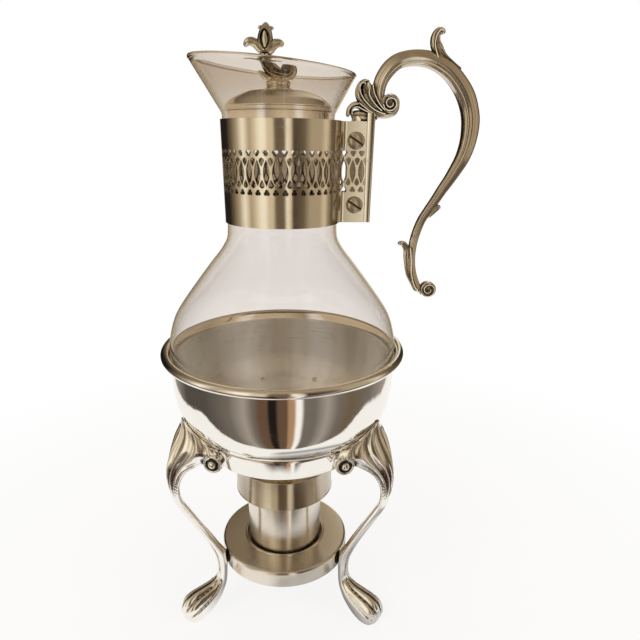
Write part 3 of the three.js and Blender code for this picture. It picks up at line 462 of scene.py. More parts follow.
def finish_piece(name, bm, body, finish, stands_for, turned=0.0, sharp=32, recesses=False):
    """Makes a piece of the object from a bmesh round the stand's axis, in its place."""
    aside = Vector((-lid_places()["shift"] * MM, 0, 0)) if body == "lid" else Vector()
    bmesh.ops.transform(
        bm, verts=bm.verts, matrix=Matrix.Translation(AXIS + aside) @ Matrix.Rotation(turned, 4, "Z"),
    )
    crease(bm, sharp)
    mesh = mesh_of(bm, name)
    if recesses:
        mark_recesses(mesh)
    mesh.materials.append(finish)
    piece = linked(name, mesh)
    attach(piece, body)
    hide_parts(*stands_for)
    return piece


def spun_piece(name, profile, body, finish, stands_for, steps=128, sharp=32, recesses=False):
    bm = lathe(profile, steps)
    return finish_piece(name, bm, body, finish, stands_for, sharp=sharp, recesses=recesses)


# Materials

RIDGE_RECESS = (0.5, 0.36)          # from a plain face to a ridge, in the stored recess value
# White that ridges go towards: wear, and painted highlight
WORN_AND_HIGHLIGHT_SILVER = (1.0, 0.97, 0.91)
# Painted highlight: the bowl's inside is this bright in upright bands and darker between them
SATIN_IN_HIGHLIGHT_BANDS, SATIN_BETWEEN_HIGHLIGHT_BANDS = (1.0, 0.96, 0.89), (0.66, 0.60, 0.49)
# Painted shade: a darker copy of the satin silver, for the dark room that the flame guard mirrors
GUARD_SILVER_PAINTED_SHADE = (0.60, 0.54, 0.46)
BRASS_DARK, SOLDER_DARK = (0.12, 0.08, 0.04), (0.01, 0.01, 0.01)
COTTON_SHADE, SOOT = (0.45, 0.38, 0.29), (0.06, 0.05, 0.045)
# The glass is greyer above the bowl's rim, and its mouth has painted brown shade
GLASS_BODY_TINT, GLASS_MOUTH_PAINTED_SHADE = (0.905, 0.872, 0.855), (0.73, 0.66, 0.575)
# Painted shade, dark, on the glass where it is seen behind the neck band
GLASS_BAND_PAINTED_SHADE = (0.50, 0.44, 0.36)
# Heights in metres between which each of these glass colours comes in
GLASS_BODY_HEIGHTS, GLASS_MOUTH_HEIGHTS = (0.195, 0.225), (0.345, 0.372)
GLASS_BAND_HEIGHTS = (0.2985, 0.3285)
SOOT_HEIGHTS = (0.0965, 0.0998)
FLECK_SCALE, SMUDGE_SCALE, GRAIN_PITCH = 900.0, 38.0, 0.0015
SCRATCH_TURN, SCRATCH_SCALES = (0.4, 0.7, 0.9), (60.0, 1500.0, 900.0)
METAL_BUMP = 0.0002


def add(tree, kind, settings=None, inputs=None):
    """A node with its settings, and its inputs set or linked."""
    made = tree.nodes.new(kind)
    for key, value in (settings or {}).items():
        setattr(made, key, value)
    for key, value in (inputs or {}).items():
        if isinstance(value, bpy.types.NodeSocket):
            tree.links.new(value, made.inputs[key])
        else:
            made.inputs[key].default_value = value
    return made


def maths(tree, operation, a, b=0.5, clamp=False):
    return add(tree, "ShaderNodeMath", {"operation": operation, "use_clamp": clamp}, {0: a, 1: b}).outputs[0]


def blend(tree, factor, a, b):
    return add(tree, "ShaderNodeMix", {"data_type": "RGBA"}, {0: factor, 6: a, 7: b}).outputs[2]


def times(tree, a, b, clamp=False):
    return maths(tree, "MULTIPLY", a, b, clamp)


def plus(tree, a, b, clamp=False):
    return maths(tree, "ADD", a, b, clamp)


def split(tree, vector):
    return add(tree, "ShaderNodeSeparateXYZ", None, {0: vector}).outputs


def joint(tree, *parts):
    return add(tree, "ShaderNodeCombineXYZ", None, dict(enumerate(parts))).outputs[0]


def size_of(tree, vector):
    return add(tree, "ShaderNodeVectorMath", {"operation": "LENGTH"}, {0: vector}).outputs["Value"]


def noise(tree, place, scale, detail, **more):
    return add(tree, "ShaderNodeTexNoise", None, {
        "Vector": place, "Scale": scale, "Detail": detail, **more,
    }).outputs[0]


def bumps(tree, height, strength, distance):
    return add(tree, "ShaderNodeBump", None, {
        "Height": height, "Strength": strength, "Distance": distance,
    }).outputs[0]


def group(tree, shared, inputs=None):
    return add(tree, "ShaderNodeGroup", {"node_tree": shared}, inputs).outputs


def remap(tree, value, low, high, new_low=0.0, new_high=1.0):
    made = add(tree, "ShaderNodeMapRange", {"clamp": True}, {
        "Value": value, "From Min": low, "From Max": high, "To Min": new_low, "To Max": new_high,
    })
    return made.outputs[0]


def effect(name):
    """A shader node group of EFFECTS with named sockets, built once."""
    tree = bpy.data.node_groups.get(name)
    if tree:
        return tree
    build, inputs, outputs = EFFECTS[name]
    tree = bpy.data.node_groups.new(name, "ShaderNodeTree")
    for label, kind, value in inputs:
        tree.interface.new_socket(name=label, in_out="INPUT", socket_type=kind).default_value = value
    for label, kind in outputs:
        tree.interface.new_socket(name=label, in_out="OUTPUT", socket_type=kind)
    entry = add(tree, "NodeGroupInput")
    build(tree, entry.outputs, add(tree, "NodeGroupOutput").inputs)
    return tree


def object_place(tree):
    return add(tree, "ShaderNodeTexCoord").outputs["Object"]


def axis_parts(tree):
    """Where a place lies across, along and up from the stand's axis."""
    centred = add(tree, "ShaderNodeMapping", None, {
        "Vector": object_place(tree), "Location": tuple(-AXIS),
    }).outputs[0]
    return split(tree, centred)


def build_tarnish_and_ridge_highlight(tree, given, out):
    """Bright metal that darkens in its recesses and in soft patches, and goes white on its ridges: partly wear,
    partly painted highlight.
    """
    place = object_place(tree)
    patchy = noise(tree, place, given["Patch scale"], 5.0, Roughness=0.6)
    patches = times(tree, maths(tree, "SUBTRACT", patchy), given["Patches"])
    hollow = remap(tree, given["Recess"], given["Clean below"], given["Dark above"])
    fleck = noise(tree, place, FLECK_SCALE, 3.0)
    hollow = times(tree, hollow, remap(tree, fleck, 0.25, 0.6, 0.82, 1.0))
    mask = plus(tree, hollow, patches, clamp=True)
    # Ridges lighten towards white: wear, and painted highlight
    ridge = remap(tree, given["Recess"], *RIDGE_RECESS)
    colour_now = blend(tree, mask, given["Bright"], given["Dark"])
    worn_with_highlight = blend(tree, times(tree, ridge, given["Shine"]), colour_now, solid(WORN_AND_HIGHLIGHT_SILVER))
    tree.links.new(worn_with_highlight, out["Color"])
    tree.links.new(mask, out["Mask"])


def build_spun_grain(tree, given, out):
    """Fine rings left by the spinning lathe, round the stand's axis."""
    parts = axis_parts(tree)
    radius = size_of(tree, joint(tree, parts[0], parts[1]))
    turn = times(tree, maths(tree, "ARCTAN2", parts[1], parts[0]), GRAIN_PITCH)
    rings = noise(tree, joint(tree, radius, parts[2], turn), given["Scale"], 3.0, Roughness=0.7)
    tree.links.new(rings, out["Height"])
    tree.links.new(remap(tree, rings, 0.3, 0.7, -1.0, 1.0), out["Streak"])


def build_painted_highlight_bands(tree, given, out):
    """Painted highlights: soft upright bright bands at fixed turns round the bowl, standing in for streaks of
    reflected light on the satin.
    """
    parts = axis_parts(tree)
    turn = maths(tree, "ARCTAN2", parts[0], parts[1])
    wave = maths(tree, "COSINE", times(tree, plus(tree, turn, given["First"]), given["Count"]))
    band_noise = noise(tree, joint(tree, turn, times(tree, parts[2], 2.0)), given["Band noise scale"], 4.0)
    uneven = plus(tree, remap(tree, wave, -1, 1), maths(tree, "SUBTRACT", band_noise), clamp=True)
    tree.links.new(uneven, out["Band"])


def build_handling(tree, given, out):
    """Smudges and hairline scratches from years of use."""
    place = object_place(tree)
    smudge = noise(tree, place, SMUDGE_SCALE, 6.0, Roughness=0.65, Distortion=0.6)
    turned = add(tree, "ShaderNodeMapping", None, {
        "Vector": place, "Rotation": SCRATCH_TURN, "Scale": SCRATCH_SCALES,
    }).outputs[0]
    hair = noise(tree, turned, 1.0, 2.0)
    scratch = times(tree, remap(tree, hair, 0.62, 0.72), given["Scratches"])
    rough = times(tree, remap(tree, smudge, 0.35, 0.7, -1.0, 1.0), given["Smudges"])
    tree.links.new(plus(tree, rough, times(tree, scratch, 0.08)), out["Roughness"])
    tree.links.new(plus(tree, smudge, scratch), out["Height"])


NUMBER, TINT = "NodeSocketFloat", "NodeSocketColor"
EFFECTS = {
    "tarnish_and_ridge_highlight": (build_tarnish_and_ridge_highlight, [
        ("Bright", TINT, (0.8, 0.8, 0.8, 1)), ("Dark", TINT, (0.1, 0.1, 0.1, 1)), ("Recess", NUMBER, 0.5),
        ("Patches", NUMBER, 0.2), ("Patch scale", NUMBER, 60.0), ("Shine", NUMBER, 0.35),
        ("Clean below", NUMBER, 0.5), ("Dark above", NUMBER, 0.72),
    ], [("Color", TINT), ("Mask", NUMBER)]),
    "spun_grain": (build_spun_grain, [("Scale", NUMBER, 1500.0)], [("Height", NUMBER), ("Streak", NUMBER)]),
    "painted_highlight_bands": (build_painted_highlight_bands, [
        ("First", NUMBER, 0.48), ("Count", NUMBER, 7.0), ("Band noise scale", NUMBER, 9.0),
    ], [("Band", NUMBER)]),
    "handling": (build_handling, [("Smudges", NUMBER, 0.03), ("Scratches", NUMBER, 1.0)], [
        ("Roughness", NUMBER), ("Height", NUMBER),
    ]),
}


def new_material(name):
    material = bpy.data.materials.new(name)
    material.use_nodes = True
    tree = material.node_tree
    return material, tree, tree.nodes["Principled BSDF"]


def solid(value):
    return (*value, 1.0)


def metal(name, bright, dark, roughness, recess=None, grain=0.0, grain_scale=1500.0,
          patches=0.15, smudges=0.03, scratches=1.0, anisotropy=0.0, bump=0.15, metallic=1.0, between_highlight_bands=None):
    """A plated metal: colour from tarnish with worn and painted-highlight ridges, and where asked painted
    highlight bands; roughness from smudges, bump from grain and scratches.
    """
    material, tree, shader = new_material(name)
    hollow = add(tree, "ShaderNodeAttribute", {"attribute_name": "recess"}).outputs["Fac"] if recess else 0.5
    aged = group(tree, effect("tarnish_and_ridge_highlight"), {
        "Bright": solid(bright), "Dark": solid(dark), "Recess": hollow, "Patches": patches,
        **(recess or {}),
    })
    use = group(tree, effect("handling"), {"Smudges": smudges, "Scratches": scratches})
    rough = plus(tree, use["Roughness"], roughness)
    rough = plus(tree, rough, times(tree, aged["Mask"], 0.25), clamp=True)
    height = times(tree, use["Height"], 0.25)
    if grain:
        rings = group(tree, effect("spun_grain"), {"Scale": grain_scale})
        rough = plus(tree, rough, times(tree, rings["Streak"], 0.03), clamp=True)
        height = plus(tree, height, times(tree, rings["Height"], grain))
    shown = aged["Color"]
    # Painted highlight bands over the colour
    if between_highlight_bands:
        shown = blend(tree, group(tree, effect("painted_highlight_bands"))["Band"], solid(between_highlight_bands), shown)
    tree.links.new(shown, shader.inputs["Base Color"])
    tree.links.new(rough, shader.inputs["Roughness"])
    tree.links.new(bumps(tree, height, bump, METAL_BUMP), shader.inputs["Normal"])
    shader.inputs["Metallic"].default_value = metallic
    if anisotropy:
        shader.inputs["Anisotropic"].default_value = anisotropy
        shader.inputs["Anisotropic Rotation"].default_value = 0.25
        tangent = add(tree, "ShaderNodeTangent", {"direction_type": "RADIAL", "axis": "Z"})
        tree.links.new(tangent.outputs[0], shader.inputs["Tangent"])
    return material


def glass_material(name, tint):
    """Clear glass, slightly wavy, greyer above the bowl's rim, with painted shade at its mouth and where it is
    seen behind the neck band.
    """
    material, tree, shader = new_material(name)
    waves = noise(tree, object_place(tree), 9.0, 1.0)
    streaks = noise(tree, object_place(tree), 30.0, 4.0)
    tree.links.new(remap(tree, streaks, 0.5, 0.8, 0.0, 0.03), shader.inputs["Roughness"])
    tree.links.new(bumps(tree, waves, 0.05, 0.001), shader.inputs["Normal"])
    height = split(tree, object_place(tree))[2]
    low, high = GLASS_BAND_HEIGHTS
    # Painted shade where the glass is seen behind the neck band
    behind = times(tree, remap(tree, height, low, low + 0.0015), remap(tree, height, high, high - 0.002))
    shown = blend(tree, remap(tree, height, *GLASS_BODY_HEIGHTS), solid(tint), solid(GLASS_BODY_TINT))
    # Painted brown shade at the mouth
    shown = blend(tree, remap(tree, height, *GLASS_MOUTH_HEIGHTS), shown, solid(GLASS_MOUTH_PAINTED_SHADE))
    tree.links.new(blend(tree, behind, shown, solid(GLASS_BAND_PAINTED_SHADE)), shader.inputs["Base Color"])
    shader.inputs["Transmission Weight"].default_value = 1
    shader.inputs["IOR"].default_value = 1.47
    return material


def cotton_material(name, tint):
    """Woven cotton, sooty at its tip."""
    material, tree, shader = new_material(name)
    place = object_place(tree)
    weave = add(tree, "ShaderNodeTexWave", {"wave_type": "BANDS", "bands_direction": "DIAGONAL"}, {
        "Vector": place, "Scale": 900.0, "Distortion": 1.5, "Detail": 2.0,
    }).outputs["Fac"]
    soot = remap(tree, split(tree, place)[2], *SOOT_HEIGHTS)
    clean = blend(tree, times(tree, weave, 0.35), solid(tint), solid(COTTON_SHADE))
    tree.links.new(blend(tree, soot, clean, solid(SOOT)), shader.inputs["Base Color"])
    tree.links.new(bumps(tree, weave, 0.6, 0.0003), shader.inputs["Normal"])
    shader.inputs["Roughness"].default_value = 0.95
    return material


def make_finishes():
    """All materials of the object, by name."""
    c = bpy.context.scene.finish_colours
    oxide = tuple(c.oxide)
    legs = {"Clean below": 0.5, "Dark above": 0.6, "Shine": 0.5}
    scrolls = {"Clean below": 0.52, "Dark above": 0.76, "Shine": 1.0}
    return {
        "polished": metal("polished_silver", c.polished, oxide, 0.06, grain=0.2, grain_scale=900.0,
                          patches=0.10, smudges=0.025, anisotropy=0.4, bump=0.07),
        # The bowl's inside carries painted highlight bands
        "inside": metal("bowl_inside", SATIN_IN_HIGHLIGHT_BANDS, oxide, 0.3, grain=0.4, patches=0.12,
                        anisotropy=0.9, bump=0.05, metallic=0.2, between_highlight_bands=SATIN_BETWEEN_HIGHLIGHT_BANDS),
        "cast": metal("leg_silver", c.polished, oxide, 0.13, recess=legs, patches=0.2, bump=0.2),
        "satin": metal("satin_silver", c.satin, oxide, 0.22, grain=0.25, patches=0.12,
                       scratches=0.4, anisotropy=0.75, bump=0.04),
        # Darker copy of the satin silver: painted shade
        "guard": metal("guard_silver_painted_shade", GUARD_SILVER_PAINTED_SHADE, oxide, 0.20, grain=0.25, patches=0.12,
                       scratches=0.4, anisotropy=0.8, bump=0.04),
        "collar": metal("collar_silver", c.aged, oxide, 0.17, grain=0.3, patches=0.2,
                        anisotropy=0.7, bump=0.09),
        "lid": metal("lid_silver", c.aged, oxide, 0.18, recess=scrolls, grain=0.4, patches=0.25,
                     anisotropy=0.6, bump=0.12),
        "aged": metal("aged_silver", c.cast, oxide, 0.12, recess=scrolls, patches=0.2, bump=0.15),
        "turned": metal("turned_silver", c.cast, oxide, 0.3, patches=0.25, bump=0.2),
        "slot": metal("screw_slot", [3 * part for part in oxide], oxide, 0.45, patches=0.5),
        "brass": metal("old_brass", c.brass, BRASS_DARK, 0.32, grain=0.5, patches=0.5, bump=0.2),
        "solder": metal("dark_solder", c.solder, SOLDER_DARK, 0.5, patches=0.4, bump=0.6),
        "glass": glass_material("clear_glass", c.glass),
        "cotton": cotton_material("cotton_wick", c.cotton),
    }


def finish(name):
    """A material of the object, made with its fellows when the first one is asked for."""
    if not FINISHES:
        FINISHES.update(make_finishes())
    return FINISHES[name]


FINISHES = {}


# Stand

BOWL_WALL_SHARES = [(0.6, 0), (0.7, 0.018), (0.798, 0.083), (0.885, 0.19), (0.948, 0.345), (0.985, 0.58),
                    (1, 0.945)]
LEG_STATION_SHARES = [
    (0.672, 1.0, 0.546, 0.985, 0.2, 0.3, 0.2),
    (0.685, 0.975, 0.41, 0.954, 0.52, 0.1, 0.6),
    (0.725, 0.945, 0.299, 0.917, 0.83, 0.05, 0.9),
    (0.795, 0.911, 0.237, 0.877, 0.98, 0.05, 1),
    (0.895, 0.862, 0.24, 0.842, 0.82, 0.06, 1),
    (0.973, 0.803, 0.44, 0.818, 0.5, 0.12, 1),
    (0.99, 0.76, 0.655, 0.79, 0.36, 0.2, 0.9),
    (0.978, 0.717, 0.758, 0.745, 0.275, 0.3, 0.7),
    (0.943, 0.671, 0.785, 0.692, 0.21, 0.4, 0.4),
    (0.884, 0.625, 0.746, 0.64, 0.17, 0.45, 0.1),
    (0.805, 0.583, 0.672, 0.601, 0.155, 0.5, 0),
    (0.33, 0.358, 0.17, 0.37, 0.155, 0.5, 0),
    (0.212, 0.277, 0, 0.285, 0.162, 0.5, 0),
    (0.193, 0.231, 0.007, 0.222, 0.17, 0.5, 0.1),
    (0.217, 0.191, 0.027, 0.157, 0.195, 0.5, 0.35),
    (0.336, 0.164, 0.114, 0.098, 0.26, 0.45, 0.75),
    (0.521, 0.151, 0.249, 0.052, 0.33, 0.4, 1),
    (0.706, 0.139, 0.435, 0.014, 0.385, 0.38, 1),
    (0.83, 0.118, 0.607, 0, 0.4, 0.38, 1),
    (0.894, 0.087, 0.743, 0.005, 0.33, 0.4, 0.7),
    (0.911, 0.058, 0.842, 0.025, 0.2, 0.45, 0.2),
]
LEG_AZIMUTHS = {"back": 86, "front_left": 206, "front_right": 326}
SEAT_GAP = 0.3          # millimetres between solids that touch in the real object
PAD_DEPTH = 1           # how far a toe is cast below the ground, where it is cut flat
LEG_VOXEL = 0.42
TRAY_SHEET, TRAY_CORNER, TRAY_LIP = 0.9, 2.2, 1.8
# The round bosses beside each knee: out and up from the foot ring, and degrees aside and turned
BOSS_OUT, BOSS_UP, BOSS_ASIDE, BOSS_FACING = 4.8, 8.6, 19.5, 26
BOSS_PROFILE = [(0, -3), (6.4, -3), (6.4, 3.0), (6.0, 4.1), (5.2, 4.3), (4.5, 3.7), (4.0, 2.7), (3.3, 2.7),
                (2.8, 4.2), (1.8, 5.4), (0, 5.8)]
SOLDER_HALVES = (0.9, 4.4, 5.2)
RIVET_ASIDE, RIVET_UP = 20.5, 0.105


def stand():
    return bpy.context.scene.stand_sizes


def bowl_outline(count=48):
    s = stand()
    wall = [
        (r * s.bowl_radius / MM, (s.bowl_floor + z * s.bowl_depth) / MM) for r, z in BOWL_WALL_SHARES
    ]
    return through(wall, count)


class CARAFE_OT_bowl(Operator):
    """Spin the bowl with its rolled rim, and the foot ring under it"""
    bl_idname = "carafe.bowl"
    bl_label = "Bowl and Foot Ring"

    def execute(self, context):
        s = stand()
        sheet = s.bowl_sheet / MM
        outer = [(s.heat_hole / MM, s.bowl_floor / MM)] + bowl_outline()
        inner = offset(outer, sheet)
        inner[0] = (s.heat_hole / MM, inner[0][1])
        rim = ((s.rim_radius / MM), (s.bowl_floor + s.bowl_depth) / MM)
        roll = arc(*rim, s.rim_roll / MM, -135, 140, 22)
        shell = spun_piece("bowl_shell", outer + roll + inner[::-1], "stand", finish("polished"),
                           ["bowl"], steps=192)
        shell.data.materials.append(finish("inside"))
        below = (s.bowl_floor + s.bowl_depth) - s.rim_roll * 0.7
        for face in shell.data.polygons:
            away = face.center - AXIS
            inward = face.normal.x * away.x + face.normal.y * away.y < 0 or face.normal.z > 0.5
            if inward and face.center.z < below:
                face.material_index = 1
        top = height_on(bowl_outline(), s.ring_top / MM - 1) - SEAT_GAP
        low, high = s.ring_bottom / MM, s.ring_top / MM
        floor = s.ring_height / MM
        side = through([(low, floor), (mix(low, high, 0.5), mix(floor, top, 0.5)), (high, top)], 16)
        ring = softened(side + offset(side, 1)[::-1], 0.35)
        spun_piece("foot_ring_band", ring, "stand", finish("polished"), ["foot_ring"], steps=160)
        return {"FINISHED"}


class CARAFE_OT_tray(Operator):
    """Spin the burner's tray with its well"""
    bl_idname = "carafe.tray"
    bl_label = "Burner Tray"

    def execute(self, context):
        s = stand()
        sheet, bend = TRAY_SHEET, TRAY_CORNER
        radius, top, well = s.tray_radius / MM, s.tray_top / MM, s.well_radius / MM
        under, floor = top - s.tray_depth / MM, s.well_floor / MM
        corner = arc(radius - bend, top - bend, bend, 0, 90, 9)
        roll = arc(well + TRAY_LIP / 2, top, TRAY_LIP / 2, 0, 180, 9)
        profile = [(0, floor), *softened([(well + sheet, floor)], 0.3), (well + sheet, top - sheet),
                   (radius - bend, top - sheet), (radius - sheet, top - bend), (radius - sheet, under),
                   (radius, under), *corner, *roll, (well, floor + sheet), (0, floor + sheet)]
        spun_piece("tray_dish", profile, "stand", finish("satin"), ["burner_tray"], steps=160)
        return {"FINISHED"}


def flute_depth(u, t, full, s):
    """Depth of the carving at a place across and along a leg: flutes above, toes below."""
    turn = math.asin(max(-1, min(1, u))) / math.pi + 0.5
    if t < 0.6:
        wave = abs(math.cos(math.pi * turn * s.flutes))
        return full * (1 - wave ** 3.2)
    wave = abs(math.sin(math.pi * turn * s.toes))
    return full * (1 - wave ** 0.55)


def leg_casting():
    """One leg pointing along +X: a fluted shell and knee, a plain shaft and a foot with toes."""
    s = stand()
    around, along, square = 96, 220, 1.75
    rows = through([(r[1], r[0], *r) for r in LEG_STATION_SHARES], along + 1)
    inside = s.tray_radius / MM + SEAT_GAP
    knee = (s.bowl_radius + s.leg_knee) / MM
    depth_full = s.flute_depth / MM
    bm = bmesh.new()

    def bulge(u):
        return (1 - min(1, abs(u)) ** square) ** (1 / square)

    def place(i, j):
        out_x, out_z, in_x, in_z, width, belly, carving = rows[j][2:]
        outer = Vector((mix(inside, knee, out_x), 0, mix(-PAD_DEPTH, s.shell_top / MM, out_z)))
        inner = Vector((mix(inside, knee, in_x), 0, mix(-PAD_DEPTH, s.shell_top / MM, in_z)))
        if j in (0, along):
            return (inner + outer) / 2
        half = width * s.shell_half / MM
        turn = TURN * i / around
        u, front = math.sin(turn), math.cos(turn)
        depth = (outer - inner).length
        if front >= 0:
            groove = flute_depth(u, j / along, depth_full * max(0, carving), s)
            across = belly + (1 - belly) * bulge(u) - groove * min(1, 2.2 * bulge(u)) / depth
        else:
            across = belly - belly * bulge(u)
        return inner.lerp(outer, across) + Vector((0, u * half, 0))

    wrapped(bm, around, along, place)
    close(bm)
    for side in (-1, 1):
        part = laid(
            lathe(BOSS_PROFILE, 40), turn_about("Z", BOSS_ASIDE * side),
            shift(s.ring_top / MM + BOSS_OUT, 0, s.ring_height / MM + BOSS_UP),
            turn_about("Z", BOSS_FACING * side), turn_about("Y", 90),
        )
        bm.from_mesh(mesh_of(part, "boss"))
    return cast(bm, LEG_VOXEL)


def stand_spaces():
    """The spaces of bowl, foot ring, tray and ground, which the legs are cut back to."""
    s = stand()
    gap = SEAT_GAP
    side = offset(bowl_outline(), -gap)
    high = (s.shell_top / MM) + 60
    ring_top = height_on(bowl_outline(), s.ring_top / MM)
    low = s.ring_height / MM - gap
    edge, under = s.tray_radius / MM + gap, (s.tray_top - s.tray_depth) / MM - 2
    profiles = [
        [(0, side[0][1]), *side, (side[-1][0], high), (0, high)],
        [(0, low), (s.ring_bottom / MM + gap, low), (s.ring_top / MM + gap, ring_top), (0, ring_top)],
        [(0, under), (edge, under), (edge, s.tray_top / MM), (0, s.tray_top / MM)],
        [(0, -20), (160, -20), (160, 0), (0, 0)],
    ]
    return [lathe(profile, 160) for profile in profiles]


class CARAFE_OT_legs(Operator):
    """Cast the three fluted legs and cut them back where they meet bowl, foot ring and tray"""
    bl_idname = "carafe.legs"
    bl_label = "Legs"

    def execute(self, context):
        s = stand()
        master = mesh_of(cut(leg_casting(), stand_spaces()), "leg_master")
        for name, azimuth in LEG_AZIMUTHS.items():
            bm = bmesh.new()
            bm.from_mesh(master)
            finish_piece(f"leg_cast_{name}", bm, "stand", finish("cast"), [f"leg_{name}"],
                         turned=math.radians(azimuth), sharp=50, recesses=True)
            seam = bmesh.new()
            bmesh.ops.create_uvsphere(seam, u_segments=24, v_segments=12, radius=MM)
            laid(
                seam, Matrix.Translation(AXIS), turn_about("Z", azimuth),
                shift(s.tray_radius / MM + 0.1, 0, (s.tray_top - s.tray_depth * 0.45) / MM),
                Matrix.Diagonal((*SOLDER_HALVES, 1)),
            )
            crease(seam, 180)
            mesh = mesh_of(seam, f"solder_{name}")
            mesh.materials.append(finish("solder"))
            piece = linked(f"solder_{name}", mesh)
            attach(piece, "stand")
        return {"FINISHED"}


class CARAFE_OT_rivets(Operator):
    """Turn the tubular rivets that hold the legs to the bowl"""
    bl_idname = "carafe.rivets"
    bl_label = "Rivets"

    def execute(self, context):
        s = stand()
        line = [(z, r) for r, z in bowl_outline()]
        height = (s.bowl_floor + RIVET_UP * s.bowl_depth) / MM
        radius = height_on(line, height)
        rise = height_on(bowl_outline(), radius + 2) - height
        tilt = math.atan2(rise, -2)
        sheet = s.bowl_sheet / MM
        face = -sheet - 0.3
        profile = [(0, face - 0.1), (0.75, face - 0.15), (0.95, face - 0.9), (1.25, face - 1.1),
                   (1.75, face - 0.95), (2.2, face - 0.45), (2.3, face), (1.2, face), (1.2, 3), (0, 3)]
        for leg, azimuth in LEG_AZIMUTHS.items():
            for side, letter in ((-1, "a"), (1, "b")):
                head = laid(lathe(profile, 32), shift(radius, 0, height), Matrix.Rotation(tilt, 4, "Y"))
                finish_piece(f"rivet_head_{leg}_{letter}", head, "stand", finish("aged"),
                             [f"rivet_{leg}_{letter}"], turned=math.radians(azimuth + side * RIVET_ASIDE),
                             recesses=True)
        return {"FINISHED"}


# Burner

CUP_CORNER, GUARD_SHEET = 2.4, 0.9
PLATE_DROP, PLATE_SIDE = 5, 6       # cup's rim down to the wick plate, and the depth of its side

class CARAFE_OT_burner(Operator):
    """Spin the spirit cup, its plate, the wick's tube, the wick and the flame guard"""
    bl_idname = "carafe.burner"
    bl_label = "Burner"

    def execute(self, context):
        b, s = context.scene.burner_sizes, stand()
        sheet = b.cup_sheet / MM
        foot = s.well_floor / MM + TRAY_SHEET + SEAT_GAP
        top = foot + b.cup_height / MM
        low, high = b.cup_bottom / MM, b.cup_top / MM
        corner = (low - CUP_CORNER, foot + CUP_CORNER)
        cup = [(0, foot), *arc(*corner, CUP_CORNER, -90, 0, 8),
               *arc(high - sheet / 2, top, sheet / 2, 0, 180, 7),
               *arc(*corner, CUP_CORNER - sheet, 0, -90, 8), (0, foot + sheet)]
        spun_piece("cup_wall", cup, "burner", finish("satin"), ["burner_cup"])
        radius, wall = b.guard_radius / MM, GUARD_SHEET
        inside, base = radius - wall, top - b.guard_skirt / MM
        crown = base + b.guard_height / MM
        web, lip = top + SEAT_GAP, high - sheet - SEAT_GAP
        guard = [(inside, base + 0.5), *arc(radius - 0.1, base + 0.5, 0.5, 180, 360, 9), (radius, base + 1.2),
                 *arc(radius - wall / 2, crown - wall / 2, wall / 2, 0, 180, 7),
                 (inside, web + wall), (lip - wall, web + wall), (lip - wall, web - 2.6), (lip, web - 2.6),
                 (lip, web), (inside, web)]
        spun_piece("guard_ring", guard, "guard", finish("guard"), ["burner_guard"])
        plate_top = top - PLATE_DROP
        side_foot = plate_top - PLATE_SIDE
        rim = mix(low, high, (side_foot - foot) / (top - foot)) - sheet - SEAT_GAP
        tube = b.wick_radius / MM
        plate = softened([(tube + 0.3, plate_top - 0.8), (rim - 0.8, plate_top - 0.8), (rim - 0.8, side_foot),
                          (rim, side_foot), (rim, plate_top), (tube + 0.3, plate_top)], 0.35)
        spun_piece("wick_lid", plate, "burner", finish("brass"), ["wick_plate"], steps=96)
        bore, flange = tube - 0.6, plate_top + 0.3
        sleeve = softened([(bore, plate_top - 9), (tube, plate_top - 9), (tube, flange), (tube + 2, flange),
                           (tube + 2, flange + 0.6), (tube, flange + 0.6), (tube, plate_top + 4.5),
                           (bore, plate_top + 4.5)], 0.2)
        spun_piece("wick_sleeve", sleeve, "burner", finish("brass"), ["wick_tube"], steps=48)
        yarn, tip = bore - 0.3, plate_top + 7.5
        wick = [(0, plate_top - 34), (yarn, plate_top - 34), (yarn, tip - 1.6), (yarn * 0.9, tip - 0.6),
                (yarn * 0.6, tip), (0, tip - 0.2)]
        spun_piece("wick_yarn", wick, "burner", finish("cotton"), ["wick"], steps=32)
        return {"FINISHED"}


# Carafe

FLASK_LOWER_SHARES = [(0.56, 0), (0.7, 0.055), (0.81, 0.17), (0.9, 0.34), (0.955, 0.6), (0.982, 0.82), (1, 1)]
FLASK_UPPER_SHARES = [(0.965, 0.12), (0.897, 0.24), (0.81, 0.33), (0.278, 0.742), (0.16, 0.825), (0.07, 0.9),
                      (0.018, 0.965)]


BAND_ABOVE_FOOT = 7.5


def carafe():
    return bpy.context.scene.carafe_sizes


def neck():
    """Heights and radii of the neck that other pieces follow, in millimetres."""
    s, c = stand(), carafe()
    bottom = (s.bowl_floor + s.bowl_sheet) / MM + SEAT_GAP
    widest = bottom + c.flask_height / MM
    foot = widest + c.shoulder / MM
    band = foot + BAND_ABOVE_FOOT
    top = band + c.band_height / MM
    thin = c.band_sheet / MM + SEAT_GAP
    return {
        "bottom": bottom, "widest": widest, "foot": foot, "band": band, "band_top": top,
        "top": top + c.neck_above / MM, "foot_radius": c.band_bottom / MM - thin,
        "top_radius": c.neck_radius / MM, "play": c.band_top / MM - thin - c.neck_radius / MM,
    }


def neck_lean(height):
    """How far the neck stands towards the pouring side at a height, in millimetres."""
    n = neck()
    return n["play"] * (height - n["band"]) / (n["band_top"] - n["band"])


MOUTH_TURN = -0.27     # how much the mouth also tilts up towards the back


def tilt_mouth(bm, mouth):
    """Moves each place on the flare along its own slope towards the tilted plane of the mouth."""
    c, n = carafe(), neck()
    slope, flare = math.tan(c.mouth_tilt), math.tan(c.flare_angle)
    for v in bm.verts:
        x, y, z = v.co / MM
        if z <= n["top"]:
            continue
        radius = math.hypot(x, y)
        lean = slope * (x + MOUTH_TURN * y) / radius
        rise = (c.flare_height / MM - lean * n["top_radius"]) / (1 + lean * flare)
        moved = n["top"] + (z - n["top"]) * rise / (mouth - n["top"])
        scale = (radius + (moved - z) * flare) / radius
        v.co = Vector((x * scale, y * scale, moved)) * MM


def lean_neck(bm):
    for v in bm.verts:
        v.co.x -= max(0, neck_lean(v.co.z / MM)) * MM


